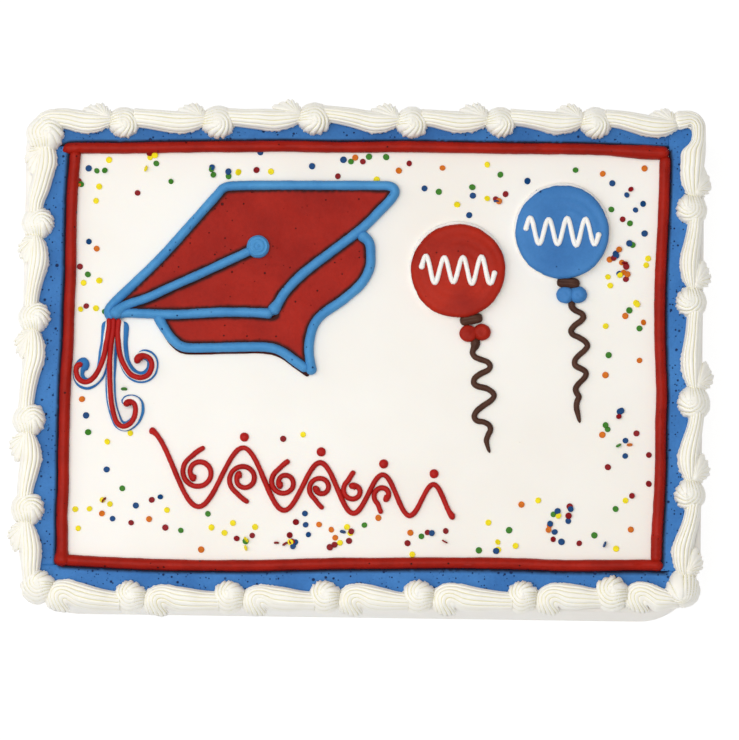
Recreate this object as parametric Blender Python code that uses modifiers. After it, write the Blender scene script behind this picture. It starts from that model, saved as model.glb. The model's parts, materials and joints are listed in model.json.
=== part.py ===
"""A frosted half-sheet cake, decorated for a graduation.

A white iced block carries a blue band, a red rope frame, a border of reverse shells,
a mortarboard with a tassel, two balloons on strings, a red scroll ornament and
scattered confetti discs. Lengths are in metres. X runs to the right, Y to the back
and Z up. The origin is on the underside, in the middle.
"""

import math
import random

import bmesh
import bpy
from mathutils import Vector

MM = 0.001
GAP = 0.3 * MM
SHARP_ANGLE = math.radians(35)

# The iced block
BODY_WIDTH = 470 * MM
BODY_DEPTH = 344 * MM
BODY_HEIGHT = 72 * MM
CORNER_RADIUS = 20 * MM
SHOULDER_RADIUS = 4 * MM
TOP = BODY_HEIGHT

# The red rope frame, slightly right of and behind the middle
FRAME_X = 1.3 * MM
FRAME_Y = 3.0 * MM
FRAME_HALF_WIDTH = 208.7 * MM
FRAME_HALF_DEPTH = 146.7 * MM
ROPE_WIDTH = 7.8 * MM
ROPE_HEIGHT = 6.0 * MM
ROPE_SWAY = 0.7 * MM
ROPE_SWAY_LENGTH = 150 * MM
ROPE_KNOTS = 12
ROPE_SIDE_KNOTS = 8

# The blue band between the rope and the edge
BAND_HEIGHT = 2.0 * MM
BAND_EDGE = 5.0 * MM

# The shell border
BORDER_X = 227.4 * MM
BORDER_Y = 166.7 * MM
SHELL_BASE = TOP + BAND_HEIGHT + GAP
HEAD_RADIUS = 11.3 * MM
HEAD_HEIGHT = 12.5 * MM
HEAD_SWIRL_OFFSET = 3.6 * MM
HEAD_ARMS = 5
HEAD_RINGS = 3
HEAD_STEPS = 10
HEAD_TWIST = 2.6
CURL_RADIUS = 5.0 * MM
CURL_HEIGHT = 8.5 * MM
CURL_ALONG = 18.0 * MM
CURL_OUT = 9.0 * MM
CURL_ARMS = 3
CURL_RINGS = 2
CURL_STEPS = 6
DOME_BLUNTNESS = 2.6
RIDGE_DEPTH = 0.09
TAIL_RIDGES = 4
TAIL_SECTIONS = 6
TAIL_BLUNTNESS = 2.4
TAIL_TUCK = 7.0 * MM
TAIL_OVERRUN = 2.0 * MM

# The edges of a tail from its own head on, as millimetres ahead and inward, and its
# heights there. Its end is as far ahead as the next head is.
TAIL_OUTER_EDGE = ((11.5, -7.0), (17.5, -9.8), (25, -10.6), (36, -9.8))
TAIL_INNER_EDGE = ((6.5, 3.5), (14.5, 7.4), (25.5, 8.6), (39, 6.4))
TAIL_OUTER_END = -9.4 * MM
TAIL_INNER_END = 2.8 * MM
TAIL_HEIGHTS = (9.5, 11.0, 11.5, 10.0, 8.5)
TAIL_SMOOTHING = 8

# Distances of the heads along each side, in the direction of piping
BACK_HEADS = (-221.7, -159.3, -93.4, -32.0, 35.6, 101.9, 167.1)
LEFT_HEADS = (-152.4, -92.1, -26.6, 44.6, 106.5)
FRONT_HEADS = (-220.9, -157.4, -89.4, -23.6, 40.8, 112.0, 173.2)
RIGHT_HEADS = (-155.3, -90.3, -26.4, 43.4, 108.0)
CORNER_INSET = 5.0 * MM
CUTTER_SIDES = 16

# The mortarboard: the board's rim from its left corner, its lower edge, and the crown
FIELD_HEIGHT = 2.5 * MM
OUTLINE_WIDTH = 5.9 * MM
OUTLINE_HEIGHT = 4.2 * MM
BOARD_RIM = ((-171.5, 34), (-97.5, 117), (-93.5, 119.8), (12, 121), (18.5, 120),
             (20.5, 116.5), (17.5, 110.5), (12, 104.8), (-4, 92), (-30, 70),
             (-54.5, 44.5), (-60.5, 36))
BOARD_LOWER_EDGE = ((-66.5, 31.8), (-88, 32.3), (-112, 31.1), (-166.3, 29.6))
CROWN_SIDE = ((-0.5, 85), (4.2, 75.5), (3.3, 62), (-8, 47), (-29, 31.2), (-35.5, 21),
              (-37.2, 5), (-35, -9.8))
CROWN_LOWER_EDGE = ((-43.5, -1.5), (-50, 3.6), (-63.7, 8.3), (-83, 8.8), (-121.6, 6.7),
                    (-131.4, 14.5), (-137.5, 22.5))
BOARD_TURN = 8
SHARED_LOWER_KNOTS = 3
CROWN_SMOOTHING = 2
CORD = ((-159, 38.2), (-120, 55.5), (-82.5, 72.2))
BUTTON = (-73.1, 77.8)
BUTTON_RADIUS = 7.9 * MM
BUTTON_HEIGHT = 4.5 * MM
BUTTON_EDGE = 2.5 * MM
BUTTON_STEPS = 14

# The tassel: three strands, each of a blue, a white and a red line
TASSEL_STRANDS = {
    "left": ((-176.8, 24), (-177.3, 12), (-178.8, 0), (-181.7, -10), (-186.2, -16.5),
             (-191.2, -18.6), (-196, -15), (-197.3, -9), (-194.8, -5)),
    "middle": ((-172.6, 24), (-173, 12), (-173.7, -3), (-173.7, -17.7), (-172.4, -30),
               (-169.8, -40.6), (-165.2, -47), (-159.1, -46), (-156, -39.5),
               (-157, -33.5), (-161, -31.5)),
    "right": ((-168.4, 24), (-168.6, 14), (-166.8, 3.5), (-162.3, -6.4), (-156.5, -12.4),
              (-150.3, -12.9), (-146, -8), (-146.5, -2), (-151, 0.5)),
}
TASSEL_LINES = (("blue", 3.9 * MM, 2.0 * MM), ("white", 3.5 * MM, 1.4 * MM),
                ("red", 3.3 * MM, 1.9 * MM))

# The balloons, their knots, bows and strings
BALLOON_RADIUS = 32.2 * MM
BALLOON_BASE_RADIUS = 33.2 * MM
BALLOON_BASE_BACK = 1.5 * MM
BALLOON_BASE_HEIGHT = 3.5 * MM
BALLOON_HEIGHT = 6.0 * MM
BALLOON_STEPS = 20
KNOT_LENGTH = 14.0 * MM
KNOT_WIDTH = 5.8 * MM
KNOT_HEIGHT = 5.4 * MM
BOW_RADIUS = 4.95 * MM
BOW_HEIGHT = 5.0 * MM
BOW_STEPS = 10
STRING_WIDTH = 3.2 * MM
STRING_HEIGHT = 2.8 * MM
STRING_SMOOTHING = 3
BALLOONS = {
    "red": {
        "middle": (65.2, 62.7), "knot": (74.9, 28.6), "knot_turn": 14,
        "bow": ((72.3, 19.3), (82.7, 20.7)),
        "string": ((77.7, 12), (76.6, 6), (88, -3), (77.2, -15), (91, -25), (77.8, -37),
                   (89.6, -47), (88.3, -62)),
    },
    "blue": {
        "middle": (136.8, 90.4), "knot": (141.4, 55.2), "knot_turn": 0,
        "bow": ((138.6, 46.6), (148.9, 46.9)),
        "string": ((144, 40.5), (152.7, 33), (143.6, 22), (155, 12), (146, 1), (154.5, -7.5),
                   (147.2, -17), (150.8, -23.5), (147.8, -30), (150.1, -42)),
    },
}
WAVE_WIDTH = 50 * MM
WAVE_SWING = 8.5 * MM
WAVE_COUNT = 4
WAVE_STEPS = 6
WAVE_LINE_WIDTH = 3.0 * MM
WAVE_LINE_HEIGHT = 2.0 * MM

# The scroll ornament: a stem that swings ever less, with a curl in each hollow
SCROLL_WIDTH = 3.2 * MM
SCROLL_HEIGHT = 2.8 * MM
SCROLL_START = -146 * MM
SCROLL_LEVEL_LEFT = -76 * MM
SCROLL_LEVEL_RIGHT = -98 * MM
SCROLL_SWING = 26 * MM
SCROLL_STEP = 34.5 * MM
SCROLL_SHRINK = 0.9
SCROLL_CRESTS = 10
SCROLL_STEPS = 5
SCROLL_CURLS = 6
SCROLL_CURL_SIZE = 0.5
SCROLL_CURL_RAISE = 0.02
SCROLL_CURL_ENTRY = 0.3 * math.pi
SCROLL_CURL_PITCH = 5.0 * MM
SCROLL_CURL_EYE = 2.4 * MM
SCROLL_CURL_MOST_TURNS = 1.35
SCROLL_CURL_STEPS = 8
SCROLL_DOT_CRESTS = (2, 4, 6, 8)
SCROLL_DOT_RADIUS = 2.3 * MM
SCROLL_DOT_HEIGHT = 2.4 * MM
SCROLL_DOT_OUT = 7.5 * MM
SCROLL_DOT_STEPS = 8

# A round mound: how much it rises to its middle, its rounded edge as a share of its
# height, and how far its foot draws in as a share of that edge
MOUND_CROWN = 0.3 * MM
MOUND_EDGE = 0.5
MOUND_FOOT = 0.4

# The confetti: small flat discs, most of them near the frame
CONFETTI_COUNT = 125
CONFETTI_RADIUS = 2.0 * MM
CONFETTI_SIDES = 5
CONFETTI_LOW = 0.6 * MM
CONFETTI_HIGH = 0.9 * MM
CONFETTI_SUNK = 0.5 * MM
CONFETTI_BAND = 38 * MM
CONFETTI_STRAY_CHANCE = 0.02
CONFETTI_SPACING = 4.4 * MM
CONFETTI_ROPE_CLEARANCE = 11 * MM
CONFETTI_CLEARANCE = 3.0 * MM
CONFETTI_SEED = 22

WHITE = (246, 243, 236)
CREAM = (243, 239, 224)
BAND_BLUE = (62, 120, 184)
LIGHT_BLUE = (78, 145, 202)
RED = (163, 38, 33)
BROWN = (74, 45, 33)


def linear(channel):
    """One colour channel from 0-255 sRGB to linear light."""
    value = channel / 255
    if value <= 0.04045:
        return value / 12.92
    return ((value + 0.055) / 1.055) ** 2.4


def icing(name, colour, roughness=0.5):
    """A matt icing material."""
    material = bpy.data.materials.get(name)
    if material:
        return material
    material = bpy.data.materials.new(name)
    material.use_nodes = True
    shader = material.node_tree.nodes["Principled BSDF"]
    shader.inputs["Base Color"].default_value = (*(linear(c) for c in colour), 1)
    shader.inputs["Roughness"].default_value = roughness
    shader.inputs["Metallic"].default_value = 0
    return material


def clear_scene():
    """Start from an empty file."""
    for item in list(bpy.data.objects):
        bpy.data.objects.remove(item, do_unlink=True)


def new_collection(name):
    collection = bpy.data.collections.new(name)
    bpy.context.scene.collection.children.link(collection)
    return collection


def add_object(name, data, material, collection):
    """A new object with its material, in a collection."""
    item = bpy.data.objects.new(name, data)
    data.materials.append(material)
    collection.objects.link(item)
    return item


def mesh_object(name, shape, material, collection):
    """An object from a bmesh, shaded smooth but for its sharp edges."""
    bmesh.ops.recalc_face_normals(shape, faces=shape.faces)
    mesh = bpy.data.meshes.new(name)
    shape.to_mesh(mesh)
    shape.free()
    mesh.shade_smooth()
    mesh.set_sharp_from_angle(angle=SHARP_ANGLE)
    return add_object(name, mesh, material, collection)


def evaluated_mesh(item):
    """The mesh an object shows, with its modifiers worked in."""
    depsgraph = bpy.context.evaluated_depsgraph_get()
    return bpy.data.meshes.new_from_object(item.evaluated_get(depsgraph))


def fuse(item, others):
    """Join every object of a collection to the item by one union, and drop them."""
    union = item.modifiers.new("Fuse", "BOOLEAN")
    union.operation = "UNION"
    union.operand_type = "COLLECTION"
    union.collection = others
    union.solver = "EXACT"
    fused = evaluated_mesh(item)
    item.modifiers.clear()
    fused.shade_smooth()
    fused.set_sharp_from_angle(angle=SHARP_ANGLE)
    item.data = fused
    for other in list(others.objects):
        bpy.data.objects.remove(other, do_unlink=True)
    bpy.data.collections.remove(others)


def blend(start, end, amount):
    return start + (end - start) * amount


def smooth_path(knots, steps):
    """Points on a smooth curve that passes through the knots, steps to a span."""
    ends = [2 * knots[0] - knots[1]] + list(knots) + [2 * knots[-1] - knots[-2]]
    points = []
    for a, b, c, d in zip(ends, ends[1:], ends[2:], ends[3:]):
        for step in range(steps):
            t = step / steps
            points.append(0.5 * (2 * b + (c - a) * t + (2 * a - 5 * b + 4 * c - d) * t * t
                                 + (3 * b - a - 3 * c + d) * t ** 3))
    points.append(knots[-1])
    return points


def places(*pairs):
    """Points on the cake's top, given in millimetres."""
    return [Vector((x, y)) * MM for x, y in pairs]


def piped_line(name, points, width, height, base, material, collection):
    """A line of icing with an oval section that rests on the level base."""
    curve = bpy.data.curves.new(name, "CURVE")
    curve.dimensions = "3D"
    spline = curve.splines.new("POLY")
    spline.points.add(len(points) - 1)
    for knot, point in zip(spline.points, points):
        knot.co = (point.x, point.y, 0, 1)
    curve.bevel_depth = width / 2
    curve.bevel_resolution = 1
    curve.use_fill_caps = True
    line = add_object(name, curve, material, collection)
    line.scale.z = height / width
    line.location.z = base + GAP + height / 2
    return line


def flat_field(name, outline, height, base, material, collection):
    """A flat patch of icing with the given outline."""
    curve = bpy.data.curves.new(name, "CURVE")
    curve.dimensions = "2D"
    curve.fill_mode = "BOTH"
    spline = curve.splines.new("POLY")
    spline.points.add(len(outline) - 1)
    for knot, point in zip(spline.points, outline):
        knot.co = (point.x, point.y, 0, 1)
    spline.use_cyclic_u = True
    curve.extrude = height / 2
    field = add_object(name, curve, material, collection)
    field.location.z = base + GAP + height / 2
    return field


def turned(name, profile, centre, base, steps, material, collection):
    """A round piece turned from a profile of radius and height, top to bottom."""
    mesh = bpy.data.meshes.new(name)
    points = [(radius, 0, height) for radius, height in profile]
    mesh.from_pydata(points, [(i, i + 1) for i in range(len(points) - 1)], [])
    item = add_object(name, mesh, material, collection)
    item.location = (centre.x, centre.y, base + GAP)
    screw = item.modifiers.new("Turn", "SCREW")
    screw.steps = steps
    screw.render_steps = steps
    screw.use_merge_vertices = True
    screw.merge_threshold = 0.01 * MM
    return item


def mound_profile(radius, height, edge):
    """A low round mound: a flat middle, a rounded edge and a flat underside."""
    shoulder = [(radius - edge + edge * math.sin(a), height - edge + edge * math.cos(a))
                for a in (math.radians(degrees) for degrees in (20, 55, 90))]
    return [(0, height + MOUND_CROWN), *shoulder, (radius - MOUND_FOOT * edge, 0), (0, 0)]


def make_body(collection):
    """The iced block with rounded corners and a softened top edge."""
    shape = bmesh.new()
    bmesh.ops.create_cube(shape, size=1)
    bmesh.ops.scale(shape, vec=(BODY_WIDTH, BODY_DEPTH, BODY_HEIGHT), verts=shape.verts)
    bmesh.ops.translate(shape, vec=(0, 0, BODY_HEIGHT / 2), verts=shape.verts)
    upright = [e for e in shape.edges if abs(e.verts[0].co.z - e.verts[1].co.z) > MM]
    bmesh.ops.bevel(shape, geom=upright, offset=CORNER_RADIUS, segments=5, profile=0.5,
                    affect="EDGES")
    rim = [e for e in shape.edges if all(v.co.z > TOP - MM for v in e.verts)]
    bmesh.ops.bevel(shape, geom=rim, offset=SHOULDER_RADIUS, segments=2, profile=0.5,
                    affect="EDGES")
    return mesh_object("cake", shape, icing("white_icing", WHITE), collection)


def band_outlines():
    """Four strokes: back and front keep their left corners, right keeps both its own."""
    seam = GAP / 2
    inner_x = FRAME_HALF_WIDTH + GAP
    inner_y = FRAME_HALF_DEPTH + GAP
    left = -BODY_WIDTH / 2 + BAND_EDGE
    right = BODY_WIDTH / 2 - BAND_EDGE
    front = -BODY_DEPTH / 2 + BAND_EDGE
    back = BODY_DEPTH / 2 - BAND_EDGE
    in_left = FRAME_X - inner_x
    in_right = FRAME_X + inner_x
    in_front = FRAME_Y - inner_y
    in_back = FRAME_Y + inner_y
    return {
        "band_back": (left, in_back, in_right - seam, back),
        "band_right": (in_right, in_front, right, back),
        "band_front": (left, front, right, in_front - 2 * seam),
        "band_left": (left, in_front, in_left, in_back - 2 * seam),
    }


def rounded_rectangle(x0, y0, x1, y1, radii, arc_steps=3):
    """A rectangle's outline, with a radius for each corner, from the lower left."""
    corners = ((x0, y0, 180), (x1, y0, 270), (x1, y1, 0), (x0, y1, 90))
    points = []
    for (x, y, turn), radius in zip(corners, radii):
        if radius == 0:
            points.append(Vector((x, y)))
            continue
        inward = Vector((1 if x == x0 else -1, 1 if y == y0 else -1)) * radius
        for step in range(arc_steps + 1):
            angle = math.radians(turn + 90 * step / arc_steps)
            points.append(Vector((x, y)) + inward
                          + radius * Vector((math.cos(angle), math.sin(angle))))
    return points


def make_band(collection):
    """The blue band, four flat strokes round the frame."""
    blue = icing("band_blue_icing", BAND_BLUE)
    soft = CORNER_RADIUS - BAND_EDGE
    radii = {
        "band_back": (0, 0, 0, soft),
        "band_right": (0, 0, soft, 0),
        "band_front": (soft, soft, 0, 0),
        "band_left": (0, 0, 0, 0),
    }
    for name, box in band_outlines().items():
        outline = rounded_rectangle(*box, radii[name])
        flat_field(name, outline, BAND_HEIGHT - GAP, TOP, blue, collection)


def swaying_line(start, end, count):
    """Points from start to end that sway a little to the side, as a hand does."""
    span = end - start
    side = Vector((-span.y, span.x)).normalized()
    points = []
    for i in range(count):
        point = blend(start, end, i / (count - 1))
        walked = (point - start).length / ROPE_SWAY_LENGTH
        points.append(point + side * ROPE_SWAY * math.sin(2 * math.pi * walked))
    return points


def make_rope(collection):
    """The red frame: back and front strokes run through, the sides butt against them."""
    red = icing("rope_red_icing", RED)
    x = FRAME_HALF_WIDTH - ROPE_WIDTH / 2 - ROPE_SWAY
    y = FRAME_HALF_DEPTH - ROPE_WIDTH / 2 - ROPE_SWAY
    butt = y - ROPE_WIDTH / 2 - 2 * ROPE_SWAY
    end = x + ROPE_WIDTH / 2
    middle = Vector((FRAME_X, FRAME_Y))
    strokes = {
        "rope_back": (Vector((-end, y)), Vector((end, y)), ROPE_KNOTS),
        "rope_front": (Vector((-end, -y)), Vector((end, -y)), ROPE_KNOTS),
        "rope_left": (Vector((-x, butt)), Vector((-x, -butt)), ROPE_SIDE_KNOTS),
        "rope_right": (Vector((x, -butt)), Vector((x, butt)), ROPE_SIDE_KNOTS),
    }
    for name, (start, stop, count) in strokes.items():
        points = swaying_line(middle + start, middle + stop, count)
        piped_line(name, points, ROPE_WIDTH, ROPE_HEIGHT, TOP, red, collection)


def swirl_dome(centre, swirl, radius, height, arms, base, rings, steps):
    """A dome whose ridges spiral in to the point swirl, which lies off its middle."""
    shape = bmesh.new()
    top = shape.verts.new((swirl.x, swirl.y, base + height))
    loops = []
    for ring in range(1, rings + 1):
        reach = ring / rings
        loop = []
        for step in range(steps):
            angle = 2 * math.pi * step / steps
            ray = Vector((math.cos(angle), math.sin(angle)))
            offset = swirl - centre
            along = offset.dot(ray)
            rim = -along + math.sqrt(along ** 2 + radius ** 2 - offset.length_squared)
            ridge = math.cos(arms * (angle + HEAD_TWIST * reach))
            bulge = 1 + RIDGE_DEPTH * reach * ridge
            place = swirl + ray * rim * reach * bulge
            rise = math.sqrt(1 - reach ** DOME_BLUNTNESS)
            level = base if ring == rings else base + height * rise * bulge
            loop.append(shape.verts.new((place.x, place.y, level)))
        loops.append(loop)
    for i in range(steps):
        j = (i + 1) % steps
        shape.faces.new((top, loops[0][i], loops[0][j]))
        for lower, upper in zip(loops[1:], loops):
            shape.faces.new((upper[i], lower[i], lower[j], upper[j]))
    shape.faces.new(reversed(loops[-1]))
    return shape


def tail_edges(length):
    """The tail's outer and inner edges, from its curl to its thin end."""
    outer = [*places(*TAIL_OUTER_EDGE), Vector((length, TAIL_OUTER_END))]
    inner = [*places(*TAIL_INNER_EDGE), Vector((length, TAIL_INNER_END))]
    return outer, inner


def shell_tail(length, place, base):
    """A ridged strip of icing that swells, bends round its curl and thins at its end."""
    outer, inner = tail_edges(length)
    samples = 2 * TAIL_RIDGES
    shape = bmesh.new()
    sections = []
    for index in range(TAIL_SECTIONS):
        station = index * (len(outer) - 1) / (TAIL_SECTIONS - 1)
        span = min(int(station), len(outer) - 2)
        part = station - span
        edge = smooth_path(outer, TAIL_SMOOTHING)[round(station * TAIL_SMOOTHING)]
        other = smooth_path(inner, TAIL_SMOOTHING)[round(station * TAIL_SMOOTHING)]
        height = blend(TAIL_HEIGHTS[span], TAIL_HEIGHTS[span + 1], part) * MM
        section = []
        for sample in range(samples + 1):
            across = sample / samples
            spot = place(blend(edge, other, across))
            arch = math.sqrt(1 - abs(2 * across - 1) ** TAIL_BLUNTNESS)
            ridge = 1 + RIDGE_DEPTH * (1 if sample % 2 else -1)
            rise = height * arch * ridge
            section.append(shape.verts.new((spot.x, spot.y, base + rise)))
        sections.append(section)
    for first, second in zip(sections, sections[1:]):
        for i in range(samples):
            shape.faces.new((first[i], second[i], second[i + 1], first[i + 1]))
        shape.faces.new((first[0], first[-1], second[-1], second[0]))
    shape.faces.new(sections[0])
    shape.faces.new(reversed(sections[-1]))
    return shape


def cut_clear_of_head(side, centre, cutters):
    """Cut a side back, so that it stays clear of the next side's corner head."""
    shape = bmesh.new()
    radius = HEAD_RADIUS * (1 + RIDGE_DEPTH) / math.cos(math.pi / CUTTER_SIDES) + GAP
    depth = 3 * HEAD_HEIGHT
    bmesh.ops.create_cone(shape, cap_ends=True, segments=CUTTER_SIDES, radius1=radius,
                          radius2=radius, depth=depth)
    bmesh.ops.translate(shape, vec=(centre.x, centre.y, SHELL_BASE), verts=shape.verts)
    cutter = mesh_object(side.name + "_cutter", shape, icing("cutter", WHITE), cutters)
    cutter.hide_render = True
    cutter.display_type = "WIRE"
    cut = side.modifiers.new("Clear of next head", "BOOLEAN")
    cut.operation = "DIFFERENCE"
    cut.object = cutter


def make_shell_side(name, heads, place, side_end, collection):
    """One side of the border: a corner head, heads, curls and tails, fused into one."""
    cream = icing("shell_icing", CREAM)
    pieces = new_collection(name + "_pieces")
    ends = [*heads[1:], side_end / MM]
    first = None
    for index, (start, following) in enumerate(zip(heads, ends)):
        start_along = start * MM
        inset = CORNER_INSET if index == 0 else 0
        tucked = 0 if index == len(heads) - 1 else TAIL_TUCK
        length = (following - start) * MM - tucked

        def local(point, along=start_along):
            return place(Vector((along + point.x, point.y)))

        head = swirl_dome(local(Vector((0, inset))),
                          local(Vector((0, inset + HEAD_SWIRL_OFFSET))),
                          HEAD_RADIUS, HEAD_HEIGHT, HEAD_ARMS, SHELL_BASE, HEAD_RINGS,
                          HEAD_STEPS)
        curl_place = local(Vector((CURL_ALONG, -CURL_OUT)))
        curl = swirl_dome(curl_place, curl_place, CURL_RADIUS, CURL_HEIGHT, CURL_ARMS,
                          SHELL_BASE, CURL_RINGS, CURL_STEPS)
        tail = shell_tail(length, local, SHELL_BASE)
        for kind, shape in (("head", head), ("curl", curl), ("tail", tail)):
            if first is None:
                first = mesh_object(name, shape, cream, collection)
                continue
            mesh_object(f"{name}_{kind}_{index}", shape, cream, pieces)
    fuse(first, pieces)
    return first


def make_border(collection):
    """The border is piped anticlockwise, seen from above, from the back right corner."""
    sides = {
        "shells_back": (BACK_HEADS, (-1, 0), (0, BORDER_Y), BORDER_X),
        "shells_left": (LEFT_HEADS, (0, -1), (-BORDER_X, 0), BORDER_Y),
        "shells_front": (FRONT_HEADS, (1, 0), (0, -BORDER_Y), BORDER_X),
        "shells_right": (RIGHT_HEADS, (0, 1), (BORDER_X, 0), BORDER_Y),
    }
    cutters = new_collection("cutters")
    made = []
    corners = []
    for name, (heads, along, middle, side_end) in sides.items():
        ahead = Vector(along)
        inward = Vector((-ahead.y, ahead.x))

        def place(point, ahead=ahead, inward=inward, middle=Vector(middle)):
            return middle + ahead * point.x + inward * point.y

        corners.append(place(Vector((heads[0] * MM, CORNER_INSET))))
        made.append(make_shell_side(name, heads, place, side_end + TAIL_OVERRUN, collection))
    for side, centre in zip(made, corners[1:] + corners[:1]):
        cut_clear_of_head(side, centre, cutters)


def make_mortarboard(collection):
    """The graduation cap: two red fields, a light-blue outline, a button and its cord."""
    red = icing("cap_red_icing", RED)
    blue = icing("light_blue_icing", LIGHT_BLUE)
    rim = places(*BOARD_RIM)
    lower = places(*BOARD_LOWER_EDGE)
    crown_side = smooth_path(places(*CROWN_SIDE), CROWN_SMOOTHING)
    crown_lower = smooth_path(places(*CROWN_LOWER_EDGE), CROWN_SMOOTHING)
    flat_field("cap_board", rim + lower, FIELD_HEIGHT, TOP, red, collection)
    shared = [point + Vector((1, -1)) * 2 * GAP
              for point in rim[BOARD_TURN:] + lower[:SHARED_LOWER_KNOTS]]
    flat_field("cap_crown", crown_side + crown_lower + shared[::-1], FIELD_HEIGHT, TOP, red,
               collection)
    on_field = TOP + GAP + FIELD_HEIGHT
    outlines = {
        "cap_rim_line": rim,
        "cap_lower_line": lower,
        "cap_crown_side_line": crown_side,
        "cap_crown_lower_line": crown_lower,
        "cap_cord": places(*CORD),
    }
    for name, points in outlines.items():
        piped_line(name, points, OUTLINE_WIDTH, OUTLINE_HEIGHT, on_field, blue, collection)
    profile = mound_profile(BUTTON_RADIUS, BUTTON_HEIGHT, BUTTON_EDGE)
    turned("cap_button", profile, places(BUTTON)[0], on_field, BUTTON_STEPS, blue,
           collection)


def make_tassel(collection):
    """Three strands that curl up at their ends, each of three lines laid on each other."""
    colours = {
        "blue": icing("light_blue_icing", LIGHT_BLUE),
        "white": icing("white_icing", WHITE),
        "red": icing("cap_red_icing", RED),
    }
    for strand, knots in TASSEL_STRANDS.items():
        base = TOP
        for colour, width, height in TASSEL_LINES:
            piped_line(f"tassel_{strand}_{colour}", places(*knots), width, height, base,
                       colours[colour], collection)
            base += height + GAP


def round_mound(name, centre, base, radius, height, steps, material, collection):
    """A low round drop of icing."""
    profile = mound_profile(radius, height, MOUND_EDGE * height)
    return turned(name, profile, centre, base, steps, material, collection)


def make_knot(name, centre, turn, material, collection):
    """A short thick line with round ends, under a balloon."""
    shape = bmesh.new()
    bmesh.ops.create_uvsphere(shape, u_segments=10, v_segments=6, radius=KNOT_WIDTH / 2)
    stretch = (KNOT_LENGTH - KNOT_WIDTH) / 2
    for vert in shape.verts:
        if abs(vert.co.x) > 0.1 * MM:
            vert.co.x += math.copysign(stretch, vert.co.x)
        vert.co.z *= KNOT_HEIGHT / KNOT_WIDTH
    knot = mesh_object(name, shape, material, collection)
    knot.location = (centre.x, centre.y, TOP + GAP + KNOT_HEIGHT / 2)
    knot.rotation_euler.z = math.radians(turn)


def wave_points(middle):
    """An even wave across a balloon."""
    count = WAVE_STEPS * WAVE_COUNT + 1
    points = []
    for i in range(count):
        along = i / (count - 1)
        swing = WAVE_SWING * math.sin(2 * math.pi * WAVE_COUNT * along)
        points.append(middle + Vector(((along - 0.5) * WAVE_WIDTH, swing)))
    return points


def make_balloon(colour, shape, material, collection):
    """One balloon: a white base, a coloured disc, a wave, a knot, a bow and a string."""
    white = icing("white_icing", WHITE)
    brown = icing("brown_icing", BROWN)
    name = f"balloon_{colour}"
    middle, knot = places(shape["middle"], shape["knot"])
    round_mound(name + "_base", middle + Vector((0, BALLOON_BASE_BACK)), TOP,
                BALLOON_BASE_RADIUS, BALLOON_BASE_HEIGHT, BALLOON_STEPS, white, collection)
    on_base = TOP + GAP + BALLOON_BASE_HEIGHT + MOUND_CROWN
    round_mound(name, middle, on_base, BALLOON_RADIUS, BALLOON_HEIGHT, BALLOON_STEPS,
                material, collection)
    on_disc = on_base + GAP + BALLOON_HEIGHT + MOUND_CROWN
    piped_line(name + "_wave", wave_points(middle), WAVE_LINE_WIDTH, WAVE_LINE_HEIGHT,
               on_disc, white, collection)
    make_knot(name + "_knot", knot, shape["knot_turn"], brown, collection)
    for index, spot in enumerate(places(*shape["bow"]), 1):
        round_mound(f"{name}_bow_{index}", spot, TOP, BOW_RADIUS, BOW_HEIGHT, BOW_STEPS,
                    material, collection)
    string = smooth_path(places(*shape["string"]), STRING_SMOOTHING)
    piped_line(name + "_string", string, STRING_WIDTH, STRING_HEIGHT, TOP, brown,
               collection)


def scroll_stem_at(crest):
    """The stem's level, swing and place at a crest's number, or between two."""
    walked = SCROLL_STEP * (1 - SCROLL_SHRINK ** crest) / (1 - SCROLL_SHRINK)
    last = SCROLL_STEP * (1 - SCROLL_SHRINK ** (SCROLL_CRESTS - 1)) / (1 - SCROLL_SHRINK)
    level = blend(SCROLL_LEVEL_LEFT, SCROLL_LEVEL_RIGHT, walked / last)
    swing = SCROLL_SWING * SCROLL_SHRINK ** crest
    place = Vector((SCROLL_START + walked, level + swing * math.cos(math.pi * crest)))
    return level, swing, place


def curl_points(crest):
    """A spiral that turns in under or over a crest."""
    level, swing, place = scroll_stem_at(crest)
    side = 1 if crest % 2 == 0 else -1
    radius = SCROLL_CURL_SIZE * swing
    middle = Vector((place.x, level - side * SCROLL_CURL_RAISE * swing))
    turns = min(SCROLL_CURL_MOST_TURNS, (radius - SCROLL_CURL_EYE) / SCROLL_CURL_PITCH)
    count = max(SCROLL_STEPS, round(SCROLL_CURL_STEPS * turns) + 1)
    points = []
    for i in range(count):
        turned_by = turns * i / (count - 1)
        angle = math.pi + side * (SCROLL_CURL_ENTRY - 2 * math.pi * turned_by)
        reach = radius - SCROLL_CURL_PITCH * turned_by
        points.append(middle + reach * Vector((math.cos(angle), math.sin(angle))))
    return points


def make_scroll(collection):
    """A running scroll along the front: a stem, its curls and a few dots."""
    red = icing("scroll_red_icing", RED)
    steps = SCROLL_STEPS * (SCROLL_CRESTS - 1)
    stem = [scroll_stem_at(i / SCROLL_STEPS)[2] for i in range(steps + 1)]
    piped_line("scroll_stem", stem, SCROLL_WIDTH, SCROLL_HEIGHT, TOP, red, collection)
    lines = [stem]
    for crest in range(1, SCROLL_CURLS + 1):
        curl = curl_points(crest)
        piped_line(f"scroll_curl_{crest}", curl, SCROLL_WIDTH, SCROLL_HEIGHT, TOP, red,
                   collection)
        lines.append(curl)
    for crest in SCROLL_DOT_CRESTS:
        side = 1 if crest % 2 == 0 else -1
        spot = scroll_stem_at(crest)[2] + Vector((0, side * SCROLL_DOT_OUT))
        round_mound(f"scroll_dot_{crest}", spot, TOP, SCROLL_DOT_RADIUS,
                    SCROLL_DOT_HEIGHT, SCROLL_DOT_STEPS, red, collection)
        lines.append([spot, spot + Vector((MM, 0))])
    return lines


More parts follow.
